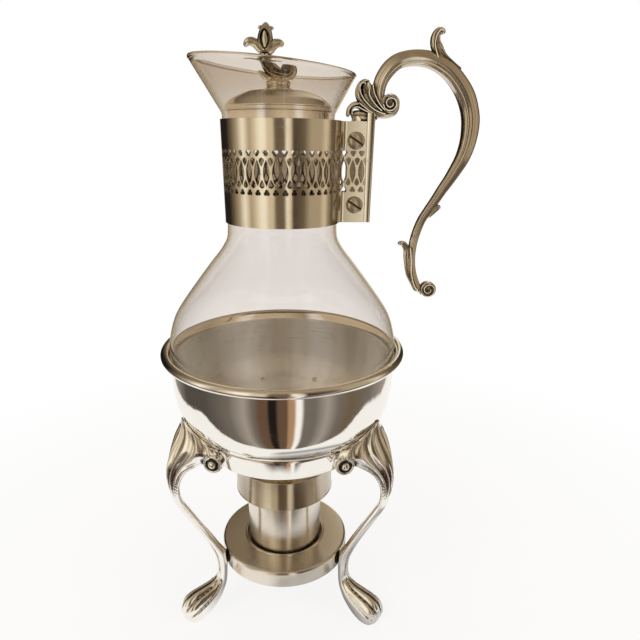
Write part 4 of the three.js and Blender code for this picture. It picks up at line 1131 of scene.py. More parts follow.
class CARAFE_OT_flask(Operator):
    """Blow the glass flask with its neck and tilted, fire-polished mouth"""
    bl_idname = "carafe.flask"
    bl_label = "Glass Flask"

    def execute(self, context):
        c, n = carafe(), neck()
        wall, radius = c.wall / MM, c.flask_radius / MM
        flare, slant = math.tan(c.flare_angle), math.cos(c.flare_angle)
        mouth = n["top"] + c.flare_height / MM
        rows = [(r * radius, n["bottom"] + z * c.flask_height / MM) for r, z in FLASK_LOWER_SHARES]
        rows += [(mix(n["foot_radius"], radius, r), n["widest"] + z * c.shoulder / MM)
                 for r, z in FLASK_UPPER_SHARES]
        rows += [(n["foot_radius"], n["band"]), (n["top_radius"], n["band_top"])]
        outer = through(rows, 110) + [(n["top_radius"], n["top"] - 1)]
        side = [(n["top_radius"] + (z - n["top"]) * flare, z)
                for z in (mix(n["top"] + 0.5, mouth - 0.8, k / 12) for k in range(13))]
        inner = offset([(0, n["bottom"])] + outer + side, wall)
        inner[0] = (0, inner[0][1])
        lip_outer, lip_inner = side[-1], inner[-1]
        middle = ((lip_outer[0] + lip_inner[0]) / 2, (lip_outer[1] + lip_inner[1]) / 2)
        lean = math.degrees(c.flare_angle)
        lip = arc(middle[0] + 0.3 * math.sin(c.flare_angle), middle[1] + 0.3 * slant, wall * 0.62,
                  -lean, 180 - lean, 13)
        bm = lathe([(0, n["bottom"])] + outer + side + lip + inner[::-1], 192)
        tilt_mouth(bm, mouth)
        lean_neck(bm)
        flask = finish_piece("flask", bm, "carafe", finish("glass"), ["carafe_glass"],
                             sharp=60)
        flask.visible_shadow = False        # clear glass lets the lamps into the bowl
        return {"FINISHED"}


# Neck band

GALLERY_BOTTOM, GALLERY_TOP = 0.305, 0.725      # shares of the band's height
TAB_END, TAB_FILLET, TANG_HALF = 52.4, 3, 3.1


def band_plan(way, height):
    """Plan of the band at a height: the middle of its sheet and the way outwards there."""
    c, n = carafe(), neck()
    sheet = c.band_sheet / MM
    radius = mix(c.band_bottom, c.band_top, (height - n["band"]) * MM / c.band_height) / MM - sheet / 2
    drop = TANG_HALF + SEAT_GAP + sheet / 2 + TAB_FILLET
    centre = math.sqrt((radius + TAB_FILLET) ** 2 - drop ** 2)
    meeting = math.atan2(drop, centre)
    tab = TAB_END - centre
    fillet = TAB_FILLET * (math.pi / 2 - meeting)
    total = 2 * (tab + fillet) + radius * 2 * (math.pi - meeting)
    side = -1 if way <= 0.5 else 1
    run = total * min(way, 1 - way)
    if run <= tab:
        return TAB_END - run, side * (drop - TAB_FILLET), 0, side
    if run <= tab + fillet:
        turn = math.pi / 2 + (run - tab) / TAB_FILLET
        x, y = math.cos(turn), math.sin(turn)
        return centre + TAB_FILLET * x, side * (drop - TAB_FILLET * y), -x, side * y
    turn = meeting + (run - tab - fillet) / radius
    x, y = math.cos(turn), math.sin(turn)
    return radius * x, side * radius * y, x, side * y


def trefoil(at, up, size_x, size_z):
    """A three-lobed piercing with its stem, round a height."""
    points = []
    for k in range(30):
        turn = TURN * k / 30
        lobe = 0.62 + 0.38 * abs(math.cos(1.5 * turn)) ** 0.8
        points.append((size_x * lobe * math.sin(turn), at + up * size_z * lobe * math.cos(turn)))
    return points


def gallery_column():
    """One column of the gallery, flat: its edge with half kites cut from the sides, and its holes."""
    def pointed(foot, tip, wide, half, count=9):
        side = []
        for k in range(count):
            t = k / (count - 1)
            z = mix(foot, tip, t)
            if z <= wide:
                s = math.sin(math.pi / 2 * (z - foot) / (wide - foot)) if wide > foot else 1
            else:
                s = math.cos(math.pi / 2 * (z - wide) / (tip - wide))
            side.append((half * s, z))
        return side

    lens = [(0.365 * (1 - (1 - k / 7) ** 2), mix(0.215, 0.785, k / 14)) for k in range(15)]
    lens = lens + [(-x, z) for x, z in lens[-2:0:-1]]
    low = pointed(0.165, 0.36, 0.215, 0.3)
    high = pointed(0.64, 0.835, 0.785, 0.3)
    bottom, top = ((end - GALLERY_BOTTOM) / (GALLERY_TOP - GALLERY_BOTTOM) for end in (0, 1))
    right = [(0.5 - x, z) for x, z in low + high]
    left = [(x - 0.5, z) for x, z in (low + high)[::-1]]
    edge = [(-0.5, bottom), (0.5, bottom), *right, (0.5, top), (-0.5, top), *left]
    holes = [lens, trefoil(0.07, 1, 0.36, 0.075), trefoil(0.93, -1, 0.36, 0.075)]
    return edge, holes


class CARAFE_OT_neck_band(Operator):
    """Pierce the gallery, bend the strip round the neck and out to its two tabs"""
    bl_idname = "carafe.neck_band"
    bl_label = "Pierced Neck Band"

    def execute(self, context):
        c, n = carafe(), neck()
        edge, holes = gallery_column()
        bm = bmesh.new()
        for loop in [edge, *holes]:
            verts = [bm.verts.new((x, z, 0)) for x, z in loop]
            for a, b in zip(verts, verts[1:] + verts[:1]):
                bm.edges.new((a, b))
        bmesh.ops.triangle_fill(bm, use_beauty=True, use_dissolve=False, edges=bm.edges, normal=(0, 0, 1))
        lines = [((k / 6 - 0.5, 0, 0), (1, 0, 0)) for k in range(1, 6)]
        lines += [((0, z, 0), (0, 1, 0)) for z in (-0.02, 1.02)]
        for place, across in lines:
            bmesh.ops.bisect_plane(
                bm, geom=bm.verts[:] + bm.edges[:] + bm.faces[:], dist=1e-5, plane_co=place, plane_no=across,
            )
        column = mesh_of(bm, "column")
        bm = bmesh.new()
        for k in range(c.cells):
            first = len(bm.verts)
            bm.from_mesh(column)
            bm.verts.ensure_lookup_table()
            bmesh.ops.translate(bm, verts=bm.verts[first:], vec=(k + 0.5, 0, 0))
        bmesh.ops.remove_doubles(bm, verts=bm.verts, dist=1e-4)
        ends = [v for v in bm.verts if v.co.x < -1e-3 or v.co.x > c.cells + 1e-3]
        bmesh.ops.delete(bm, geom=ends, context="VERTS")
        for v in bm.verts:
            height = n["band"] + c.band_height / MM * mix(GALLERY_BOTTOM, GALLERY_TOP, v.co.y)
            x, y, out_x, out_y = band_plan(min(1, max(0, v.co.x / c.cells)), height)
            half = c.band_sheet / MM / 2
            v.co = Vector((x + out_x * half, y + out_y * half, height)) * MM
        bmesh.ops.recalc_face_normals(bm, faces=bm.faces)
        bmesh.ops.solidify(bm, geom=bm.faces[:], thickness=c.band_sheet)
        bmesh.ops.recalc_face_normals(bm, faces=bm.faces)
        corners = [e for e in bm.edges if len(e.link_faces) == 2 and e.calc_face_angle() > math.radians(55)]
        bevel(bm, corners, 0.16, 2, clamp_overlap=True)
        finish_piece("gallery_band", bm, "carafe", finish("collar"), ["neck_band"], sharp=20)
        return {"FINISHED"}


# Handle, clamp screws and nuts

ROUND_SECTION = [(0, 1), (180, 1)]
RIDGE_SECTION = [(0, 1), (45, 1.23), (67.5, 1.08), (90, 1), (112.5, 1.08), (135, 1.23), (180, 1)]
BOW_SECTION = [(0, 1.0), (32, 1.02), (50, 0.98), (60, 0.86), (70, 0.93), (80, 0.99), (90, 0.93), (104, 0.84),
               (125, 0.82), (145, 0.9), (162, 0.98), (180, 1)]
SCROLL_SECTION = [(0, 1), (34, 1.04), (52, 1.02), (68, 0.84), (90, 0.66), (112, 0.84), (128, 1.02),
                  (146, 1.04), (180, 1)]
BOW_SHARES = [
    (0.135, 0.054, 0.024), (0.088, 0.06, 0.042), (0.05, 0.075, 0.055), (0.028, 0.1, 0.062),
    (0.03, 0.13, 0.066), (0.055, 0.166, 0.07), (0.122, 0.207, 0.075),
    (0.204, 0.234, 0.074), (0.3, 0.246, 0.075), (0.409, 0.25, 0.077), (0.516, 0.245, 0.08),
    (0.625, 0.229, 0.082), (0.736, 0.201, 0.086), (0.84, 0.157, 0.09), (0.919, 0.109, 0.094),
    (0.972, 0.053, 0.093), (0.992, 0.013, 0.093), (0.995, -0.027, 0.09), (0.987, -0.068, 0.085),
    (0.966, -0.109, 0.08), (0.93, -0.151, 0.074), (0.876, -0.193, 0.067), (0.816, -0.235, 0.06),
    (0.748, -0.278, 0.055), (0.683, -0.322, 0.051), (0.613, -0.366, 0.047), (0.55, -0.41, 0.046),
    (0.504, -0.461, 0.046), (0.478, -0.505, 0.045), (0.466, -0.551, 0.043), (0.466, -0.591, 0.042),
    (0.476, -0.631, 0.043), (0.497, -0.671, 0.047), (0.528, -0.705, 0.05), (0.575, -0.736, 0.046),
]
# Leaves and rims of the scrolls: place across and up, and half the width there
HANDLE_SCROLL_SHARES = {
    "back_rim": [
        (-0.069, 0.155, 0.013), (-0.116, 0.158, 0.019), (-0.158, 0.145, 0.024), (-0.182, 0.118, 0.026),
        (-0.167, 0.09, 0.028), (-0.108, 0.063, 0.029), (-0.031, 0.041, 0.031), (0.052, 0.027, 0.031),
        (0.134, 0.027, 0.03), (0.197, 0.041, 0.029), (0.219, 0.067, 0.026), (0.198, 0.091, 0.022),
        (0.152, 0.101, 0.016), (0.109, 0.093, 0.012),
    ],
    "back_leaf": [
        (-0.112, 0.156, 0.03), (-0.098, 0.138, 0.052), (-0.08, 0.112, 0.068), (-0.042, 0.086, 0.076),
        (0.015, 0.066, 0.068), (0.08, 0.047, 0.045), (0.135, 0.04, 0.028),
    ],
    "foot_rim": [
        (-0.275, 0.016, 0.015), (-0.274, 0.04, 0.02), (-0.246, 0.059, 0.024), (-0.193, 0.069, 0.026),
        (-0.135, 0.062, 0.028), (-0.079, 0.045, 0.031), (-0.016, 0.028, 0.03), (0.046, 0.018, 0.02),
    ],
    "foot_leaf": [
        (-0.245, 0.02, 0.036), (-0.19, 0.024, 0.05), (-0.12, 0.022, 0.05), (-0.05, 0.018, 0.04),
        (0.03, 0.018, 0.03),
    ],
    "thumb_leaf": [
        (0.846, 0.205, 0.02), (0.747, 0.232, 0.025), (0.655, 0.257, 0.042), (0.596, 0.286, 0.057),
        (0.57, 0.311, 0.05), (0.575, 0.337, 0.041), (0.604, 0.353, 0.031), (0.637, 0.349, 0.024),
        (0.64, 0.338, 0.016),
    ],
    "nub": [(0.601, -0.4, 0.022), (0.66, -0.374, 0.031), (0.716, -0.354, 0.03), (0.748, -0.352, 0.018)],
    "tail_leaf": [
        (0.5, -0.7, 0.03), (0.445, -0.655, 0.032), (0.416, -0.591, 0.035), (0.402, -0.538, 0.037),
        (0.356, -0.514, 0.028), (0.306, -0.518, 0.017),
    ],
}
# Half the depth of each leaf, rim and ridge, in millimetres
SCROLL_DEPTHS = {
    "back_rim": 3.9, "back_leaf": 4.3, "foot_rim": 3.4, "foot_leaf": 2.9, "thumb_leaf": 3.4, "nub": 2.2,
    "tail_leaf": 2.3, "back_spine": 4.7, "back_vein": 4.1, "root_vein": 4.7, "foot_spine": 4.1,
    "foot_vein": 4.3, "thumb_spine": 4.2, "tail_spine": 3.6,
}
# Ridges raised on the leaves: place across and up
RIDGE_HALF = 0.0095
HANDLE_RIDGE_SHARES = {
    "back_spine": [
        (-0.108, 0.14), (-0.127, 0.149), (-0.155, 0.147), (-0.17, 0.135), (-0.166, 0.116), (-0.141, 0.094),
        (-0.091, 0.07), (-0.028, 0.049), (0.045, 0.035), (0.11, 0.029),
    ],
    "back_vein": [(-0.074, 0.133), (-0.075, 0.109), (-0.042, 0.083), (0.008, 0.06), (0.071, 0.039)],
    "root_vein": [(-0.044, 0.145), (-0.028, 0.114), (0.005, 0.086), (0.049, 0.06), (0.098, 0.042)],
    "foot_spine": [
        (-0.24, 0.023), (-0.241, 0.04), (-0.225, 0.052), (-0.185, 0.056), (-0.13, 0.046), (-0.064, 0.035),
        (0.005, 0.023),
    ],
    "foot_vein": [(-0.176, 0.073), (-0.127, 0.058), (-0.065, 0.041), (0.004, 0.027)],
    "thumb_spine": [(0.6, 0.245), (0.556, 0.299), (0.573, 0.336), (0.612, 0.353), (0.643, 0.343)],
    "tail_spine": [(0.437, -0.53), (0.455, -0.591), (0.463, -0.644), (0.505, -0.705), (0.587, -0.749)],
}
# Discs with a raised curl: middle across and up, outer and inner radius, first angle in degrees, turns,
# and in millimetres the radius of the disc and half its depth
VOLUTE = (0.144, 0.072, 0.076, 0.022, 180, 1.6, 5.7, 3.7)
TAIL_CURL = (0.67, -0.727, 0.08, 0.022, -120, 1.45, 5.3, 2.7)
CURL_HALF, CURL_DISH = 0.6, 1.3
SLOT_TURN, SLOT_HALF, SLOT_UP = math.radians(32), 0.7, 1.3
SCREW_FROM_TAB_END = 6.5
SCREW_PLACES = {"upper": 0.815, "lower": 0.18}
NUT_RADIUS, NUT_DEPTH, BORE_RADIUS = 4.62, 3.2, 2.3


def dished_disc(x, z, radius, deep, dish):
    """A disc lying in the XZ plane whose two faces are hollow, in millimetres."""
    face = through([
        (0, deep - dish), (radius * 0.6, deep - dish * 0.75), (radius * 0.88, deep - 0.1),
        (radius - 0.2, deep - 0.1), (radius, deep - 0.4),
    ], 16)
    return laid(lathe(face + [(r, -h) for r, h in face[::-1]], 48), shift(x, 0, z), turn_about("X", 90))


def box_shape(low, high, edge=0.0):
    """A box between two corners, in millimetres, its edges bevelled where a width is given."""
    bm = bmesh.new()
    bmesh.ops.create_cube(bm, size=1)
    size = Vector(high) - Vector(low)
    middle = (Vector(high) + Vector(low)) / 2
    laid(bm, shift(*middle), Matrix.Diagonal((*(size * MM), 1)))
    if edge:
        bevel(bm, bm.edges[:], edge)
    return bm


class CARAFE_OT_handle(Operator):
    """Cast the handle with its ribbed bow, scrolls, thumb leaf and tang"""
    bl_idname = "carafe.handle"
    bl_label = "Handle"

    def execute(self, context):
        c, n = carafe(), neck()
        reach, rise = c.handle_reach / MM, c.handle_rise / MM
        outer = TAB_END + SEAT_GAP + 5

        def placed(rows):
            return [(outer + x * reach, n["band_top"] + z * rise, half * reach) for x, z, half in rows]

        def scroll(x, z, wide, narrow, first, turns, body, deep):
            """A disc with a raised curl that winds inwards on both its faces."""
            (x, z, _), = placed([(x, z, 0)])
            halves = (CURL_HALF, CURL_HALF * 0.8)
            rows = curl(x, z, (wide * reach, narrow * reach), first, turns, halves, 16)
            return [dished_disc(x, z, body, deep, CURL_DISH),
                    horn(rows, RIDGE_SECTION, deep=deep + 0.5, around=16, step=0.4)]

        shapes = [horn(placed(BOW_SHARES), BOW_SECTION, 1.12, around=64, step=0.6)]
        for name, rows in HANDLE_SCROLL_SHARES.items():
            section = ROUND_SECTION if name.endswith("_rim") else SCROLL_SECTION
            shapes.append(horn(placed(rows), section, deep=SCROLL_DEPTHS[name], around=32))
        for name, rows in HANDLE_RIDGE_SHARES.items():
            line = placed([(x, z, RIDGE_HALF) for x, z in rows])
            shapes.append(horn(line, RIDGE_SECTION, deep=SCROLL_DEPTHS[name], around=16, step=0.4))
        shapes += scroll(*VOLUTE) + scroll(*TAIL_CURL)
        bottom, top = n["band"], n["band_top"]
        inner = c.band_top / MM + TAB_FILLET
        shapes.append(box_shape((inner, -TANG_HALF, bottom), (outer - 2, TANG_HALF, top), 0.3))
        post = box_shape((outer - 5, -4.4, bottom), (outer, 4.4, top + 5))
        corners = [e for e in post.edges if min(v.co.x for v in e.verts) > (outer - 1) * MM
                   and abs(e.verts[0].co.z - e.verts[1].co.z) > MM]
        bevel(post, corners, 1.7)
        for v in post.verts:
            if v.co.x > (outer - 4) * MM:
                v.co.x -= 1.25 * MM * max(0, (top * MM - v.co.z) / c.band_height)
        shapes.append(post)
        hump = lathe(softened([(0, -2.9), (2.7, -2.9), (2.7, 2.9), (0, 2.9)], 0.4), 32)
        shapes.append(laid(hump, shift(outer - 11.5, 0, top + 0.6), turn_about("X", 90)))
        finish_piece("handle_cast", joined(shapes), "carafe", finish("aged"), ["handle"],
                     sharp=40, recesses=True)
        return {"FINISHED"}


class CARAFE_OT_clamp(Operator):
    """Turn the slotted clamp screws and their nuts"""
    bl_idname = "carafe.clamp"
    bl_label = "Clamp Screws and Nuts"

    def execute(self, context):
        c, n = carafe(), neck()
        head, seat = c.screw_head / MM, TANG_HALF + SEAT_GAP + c.band_sheet / MM + SEAT_GAP
        across = TAB_END - SCREW_FROM_TAB_END
        profile = [(0, -seat - 4.5), (1.7, -seat - 4.5), (2, -seat - 4.2), (2, seat), (head - 0.25, seat),
                   (head, seat + 0.3), (head, seat + 1.0), (head * 0.95, seat + 1.6),
                   (head * 0.8, seat + 2.3), (head * 0.5, seat + 2.7), (0, seat + 2.8)]
        for name, place in SCREW_PLACES.items():
            height = n["band"] + place * c.band_height / MM
            lie = shift(across, 0, height) @ turn_about("X", 90)
            slot_cut = box_shape((-8, -SLOT_HALF, seat + SLOT_UP), (8, SLOT_HALF, seat + 4))
            screw = cut(lathe(profile, 64), [laid(slot_cut, Matrix.Rotation(-SLOT_TURN, 4, "Z"))])
            across_slot = Vector((math.sin(SLOT_TURN), math.cos(SLOT_TURN), 0))
            wide, deep = (SLOT_HALF + 0.02) * MM, (seat + SLOT_UP - 0.02) * MM
            for face in screw.faces:
                inside = all(abs(v.co @ across_slot) < wide and v.co.z > deep for v in face.verts)
                face.material_index = int(inside)
            laid(screw, lie)
            bolt = finish_piece(f"clamp_bolt_{name}", screw, "carafe", finish("turned"),
                                [f"clamp_screw_{name}"])
            bolt.data.materials.append(finish("slot"))
            nut = bmesh.new()
            bmesh.ops.create_cone(nut, cap_ends=True, segments=6, radius1=NUT_RADIUS * MM,
                                  radius2=NUT_RADIUS * MM, depth=NUT_DEPTH * MM)
            bevel(nut, nut.edges[:], 0.35)
            nut = cut(nut, [lathe([(0, -4), (BORE_RADIUS, -4), (BORE_RADIUS, 4), (0, 4)], 40)])
            laid(nut, lie, shift(0, 0, -(seat + NUT_DEPTH / 2)))
            finish_piece(f"clamp_hex_{name}", nut, "carafe", finish("aged"), [f"clamp_nut_{name}"],
                         recesses=True)
        return {"FINISHED"}


# Lid

FINIAL_SHARES = {
    "stem": [(-0.57, 0.42, 0.26), (-0.53, 0.3, 0.31), (-0.36, 0.19, 0.33), (-0.1, 0.1, 0.33),
             (0.16, 0.04, 0.3)],
    "leaf": [(-0.2, -0.02, 0.2), (-0.44, 0.0, 0.19), (-0.66, 0.055, 0.15), (-0.84, 0.11, 0.1),
             (-0.97, 0.13, 0.05)],
    "bud": [(-0.64, 0.42, 0.24), (-0.64, 0.51, 0.33), (-0.61, 0.64, 0.38), (-0.59, 0.76, 0.33),
            (-0.57, 0.87, 0.23), (-0.56, 0.955, 0.05)],
    "petal_left": [(-0.7, 0.44, 0.14), (-0.9, 0.52, 0.18), (-1.02, 0.58, 0.2), (-1.22, 0.625, 0.2),
                   (-1.41, 0.62, 0.17), (-1.52, 0.57, 0.12), (-1.53, 0.53, 0.06)],
    "petal_right": [(-0.5, 0.42, 0.16), (-0.35, 0.5, 0.2), (-0.23, 0.57, 0.23), (-0.05, 0.605, 0.2),
                    (0.13, 0.6, 0.16), (0.25, 0.555, 0.09)],
    "barb_left": [(-0.66, 0.87, 0.1), (-0.84, 0.865, 0.07), (-0.94, 0.85, 0.03)],
    "barb_right": [(-0.44, 0.85, 0.1), (-0.27, 0.85, 0.08), (-0.21, 0.83, 0.05)],
    "hook_rim": [(0.1, 0.02, 0.2), (0.3, 0.025, 0.19), (0.56, 0.06, 0.19), (0.75, 0.14, 0.16),
                 (0.71, 0.23, 0.13), (0.53, 0.28, 0.1), (0.31, 0.27, 0.07), (0.2, 0.22, 0.05)],
}
FINIAL_DEPTHS = {"leaf": 3.0, "petal_left": 2.8, "petal_right": 2.8, "barb_left": 2, "barb_right": 2,
                 "hook_rim": 2.7, "stem_spine": 3.7, "stem_vein": 4.3, "stem_fold": 4.3, "hook_spine": 3.5,
                 "drop_edge": 4.4}
FINIAL_RIDGE_SHARES = {
    "stem_spine": [(-0.86, 0.41), (-0.84, 0.34), (-0.7, 0.22), (-0.47, 0.12), (-0.18, 0.065), (0.16, 0.05),
                   (0.45, 0.07)],
    "stem_vein": [(-0.64, 0.42), (-0.61, 0.3), (-0.39, 0.18), (-0.14, 0.12), (0.16, 0.09), (0.38, 0.09)],
    "stem_fold": [(-0.38, 0.38), (-0.33, 0.31), (-0.21, 0.23), (0.01, 0.17), (0.2, 0.15)],
    "hook_spine": [(0.23, 0.075), (0.49, 0.09), (0.65, 0.15), (0.62, 0.23), (0.45, 0.26), (0.27, 0.25),
                   (0.2, 0.2), (0.3, 0.15), (0.42, 0.17)],
    "drop_edge": [(-0.64, 0.46), (-0.84, 0.58), (-0.87, 0.69), (-0.79, 0.785), (-0.62, 0.835), (-0.46, 0.785),
                  (-0.36, 0.69), (-0.39, 0.59), (-0.6, 0.47)],
}
DROP_SHARES = [(-0.62, 0.8, 0.05), (-0.63, 0.73, 0.17), (-0.62, 0.65, 0.22), (-0.62, 0.57, 0.16),
               (-0.63, 0.5, 0.05)]
HOOK_SHARES = (0.42, 0.165, 0.3)
FINIAL_RIDGE_HALF, FERRULE_HEIGHT, LID_HOLE = 0.045, 5.4, 1.9
LID_DOME_SHARES = [(0.992, 0), (0.95, 0.155), (0.88, 0.38), (0.75, 0.628), (0.55, 0.897), (0.3, 0.975)]


def lid_places():
    """Heights and radius of the lid, in millimetres."""
    c, d, n = carafe(), bpy.context.scene.lid_sizes, neck()
    flare, slant, wall = math.tan(c.flare_angle), math.cos(c.flare_angle), c.wall / MM
    radius = n["top_radius"] - wall + 0.2
    rim = n["top"] + (0.2 + (SEAT_GAP + wall) / slant - wall) / flare
    shoulder = rim + d.side / MM
    top = shoulder + d.dome / MM
    return {"radius": radius, "rim": rim, "shoulder": shoulder, "top": top, "ferrule": top + SEAT_GAP,
            "shift": neck_lean(rim)}


class CARAFE_OT_lid(Operator):
    """Spin the lid with its skirt and the ring under the finial"""
    bl_idname = "carafe.lid"
    bl_label = "Lid"

    def execute(self, context):
        d, p = context.scene.lid_sizes, lid_places()
        sheet, radius = d.sheet / MM, p["radius"]
        rim = p["rim"]
        side = [(radius - 0.3, rim), (radius, rim + 0.3), (radius, rim + 0.8), (radius - 0.55, rim + 1.2),
                (radius - 0.6, rim + 2.2), (radius - 0.2, rim + 2.7)]
        dome = through([(radius * r, p["shoulder"] + d.dome / MM * z) for r, z in LID_DOME_SHARES], 30)
        inner = offset([(radius - 0.6, rim), (radius - 0.6, rim + 2.7)] + dome, sheet)
        inner[0] = (inner[0][0], rim)
        profile = side + dome + [(LID_HOLE, p["top"]), (LID_HOLE, p["top"] - sheet)] + inner[::-1]
        spun_piece("lid_cover", profile, "lid", finish("lid"), ["lid_dome"], steps=128, recesses=True)
        out = radius - 0.6 - sheet - SEAT_GAP
        low, high = rim - d.skirt / MM, rim + d.side / MM * 0.6
        skirt = softened([(out - sheet, low), (out, low), (out, high), (out - sheet, high)], 0.3)
        spun_piece("lid_collar", skirt, "lid", finish("lid"), ["lid_skirt"], steps=128, recesses=True)
        f, foot, tall = d.ferrule / MM, p["ferrule"], FERRULE_HEIGHT
        turned = through([(f * 1.06, foot), (f * 1.09, foot + 0.5), (f * 0.95, foot + 1.1),
                          (f * 0.94, foot + 1.6), (f, foot + 3), (f * 0.99, foot + 4.2),
                          (f * 0.84, foot + tall)], 30)
        ring = [(LID_HOLE, foot), *turned, (LID_HOLE, foot + tall)]
        spun_piece("finial_ring", ring, "lid", finish("lid"), ["finial_ferrule"], steps=64,
                   recesses=True)
        return {"FINISHED"}


class CARAFE_OT_finial(Operator):
    """Cast the finial and turn the screw that holds it"""
    bl_idname = "carafe.finial"
    bl_label = "Finial"

    def execute(self, context):
        d, p = context.scene.lid_sizes, lid_places()
        foot = p["ferrule"] + FERRULE_HEIGHT + SEAT_GAP
        half_width, tall = d.finial_half / MM, d.finial_height / MM

        def placed(rows):
            return [(x * half_width, foot + z * tall, half * half_width) for x, z, half in rows]

        shapes = [lathe([(0, foot), (2.6, foot), (2.6, foot + 4.5), (0, foot + 4.5)], 32)]
        for name, rows in FINIAL_SHARES.items():
            section = ROUND_SECTION if name in ("stem", "bud", "hook_rim") else SCROLL_SECTION
            shapes.append(horn(placed(rows), section, 0.76, FINIAL_DEPTHS.get(name, 0), step=0.3))
        for name, rows in FINIAL_RIDGE_SHARES.items():
            line = placed([(x, z, FINIAL_RIDGE_HALF) for x, z in rows])
            shapes.append(horn(line, RIDGE_SECTION, deep=FINIAL_DEPTHS[name], around=16, step=0.3))
        shapes.append(horn(placed(DROP_SHARES), ROUND_SECTION, deep=4.9, around=32, step=0.3))
        (x, z, half), = placed([HOOK_SHARES])
        shapes.append(dished_disc(x, z, half, 2.5, 1.0))
        under = lathe([(0, foot - 8), (30, foot - 8), (30, foot), (0, foot)], 32)
        finish_piece("finial_cast", cut(joined(shapes), [under]), "lid", finish("aged"), ["finial"],
                     sharp=40, recesses=True)
        seat = p["top"] - d.sheet / MM - SEAT_GAP
        head = seat - 1.6
        screw = lathe([(0, head), (3.2, head), (4, head + 0.7), (4, seat), (1.6, seat), (1.6, foot + 2.25),
                       (0, foot + 2.25)], 40)
        slot_cut = box_shape((-8, -0.5, head - 1), (8, 0.5, head + 0.6))
        finish_piece("finial_bolt", cut(screw, [slot_cut]), "lid", finish("aged"), ["finial_screw"],
                     recesses=True)
        return {"FINISHED"}


# Studio

TONES = {
    "black": (0.012, 0.010, 0.008), "dark": (0.055, 0.038, 0.022), "umber": (0.15, 0.108, 0.064),
    "brown": (0.13, 0.075, 0.045), "rust": (0.42, 0.25, 0.14), "tan": (0.42, 0.335, 0.225),
    "sand": (0.70, 0.585, 0.41), "cream": (1.0, 0.92, 0.74), "white": (0.98, 0.95, 0.90),
    "lead": (0.085, 0.072, 0.060), "grey": (0.17, 0.145, 0.12), "silver": (0.36, 0.315, 0.265),
}
# Heights of the looking direction between which one part of the room passes into the next
HORIZON, CEILING = (-0.40, -0.30), (0.35, 0.95)
CEILING_TONE = (0.34, 0.265, 0.175)
# Name, place, size, watts and tint of each lamp, which all aim at the middle of the object
LAMPS = [
    ("key_lamp", (-0.75, -0.75, 1.05), 0.6, 5, (1.0, 0.97, 0.92)),
    ("fill_lamp", (0.9, -0.55, 0.85), 0.7, 3, (1.0, 0.97, 0.93)),
    ("top_lamp", (0.0, 0.35, 1.25), 0.9, 4, (1.0, 0.98, 0.95)),
]
LAMP_AIM = Vector((0, 0, 0.2))
TABLE_SIDE, TABLE_BACK = 0.36, 1.5      # metres that the mirrored table reaches aside and to the back
# Place round the room from behind the left side, and the tone that stands there
ROOM_SHARES = {
    "upper": [
        (0.0, "umber"), (0.075, "black"), (0.155, "black"), (0.20, "umber"), (0.245, "tan"), (0.285, "cream"),
        (0.325, "tan"), (0.355, "sand"), (0.385, "cream"), (0.412, "cream"), (0.425, "sand"), (0.452, "sand"),
        (0.466, "umber"), (0.512, "umber"), (0.525, "cream"), (0.546, "sand"), (0.558, "dark"), (0.62, "umber"),
        (0.655, "tan"), (0.72, "tan"), (0.755, "sand"), (0.80, "umber"), (0.875, "dark"), (0.92, "black"),
        (0.955, "cream"), (0.98, "tan"), (1.0, "umber"),
    ],
    "lower": [
        (0.0, "silver"), (0.10, "silver"), (0.18, "lead"), (0.26, "lead"), (0.34, "grey"), (0.385, "silver"),
        (0.41, "grey"), (0.43, "brown"), (0.452, "brown"), (0.458, "black"), (0.476, "black"), (0.484, "brown"),
        (0.508, "brown"), (0.514, "rust"), (0.530, "rust"), (0.536, "white"), (0.549, "white"), (0.557, "grey"),
        (0.59, "grey"), (0.625, "silver"), (0.66, "grey"), (0.70, "umber"), (0.77, "grey"), (0.85, "silver"),
        (1.0, "silver"),
    ],
    # what the metal behind the glass mirrors
    "behind": [
        (0.0, "sand"), (0.3, "sand"), (0.36, "sand"), (0.385, "white"), (0.405, "white"), (0.43, "tan"),
        (0.5, "sand"), (0.59, "sand"), (0.61, "white"), (0.635, "white"), (0.66, "sand"), (0.75, "tan"),
        (1.0, "sand"),
    ],
}


def colour_ramp(tree, factor, stops):
    made = add(tree, "ShaderNodeValToRGB", None, {0: factor})
    ramp = made.color_ramp
    while len(ramp.elements) < len(stops):
        ramp.elements.new(0.5)
    for element, (place, value) in zip(ramp.elements, stops):
        element.position = place
        element.color = solid(TONES[value])
    return made.outputs[0]


def emission(tree, shade):
    return add(tree, "ShaderNodeEmission", None, {"Color": shade, "Strength": 1.0}).outputs[0]


def mixed(tree, factor, first, second):
    return add(tree, "ShaderNodeMixShader", None, {0: factor, 1: first, 2: second}).outputs[0]


def room_light(tree, behind_glass):
    """What the metal mirrors: a room with upright light and dark places, darker near the floor."""
    direction = add(tree, "ShaderNodeTexCoord").outputs["Generated"]
    parts = split(tree, direction)
    turn = maths(tree, "ARCTAN2", parts[0], times(tree, parts[1], -1.0))
    around = plus(tree, maths(tree, "DIVIDE", turn, TURN), 0.5)
    upper = colour_ramp(tree, around, ROOM_SHARES["upper"])
    lower = colour_ramp(tree, around, ROOM_SHARES["lower"])
    walls = blend(tree, remap(tree, parts[2], *HORIZON), lower, upper)
    room = blend(tree, remap(tree, parts[2], *CEILING), walls, solid(CEILING_TONE))
    return blend(tree, behind_glass, room, colour_ramp(tree, around, ROOM_SHARES["behind"]))


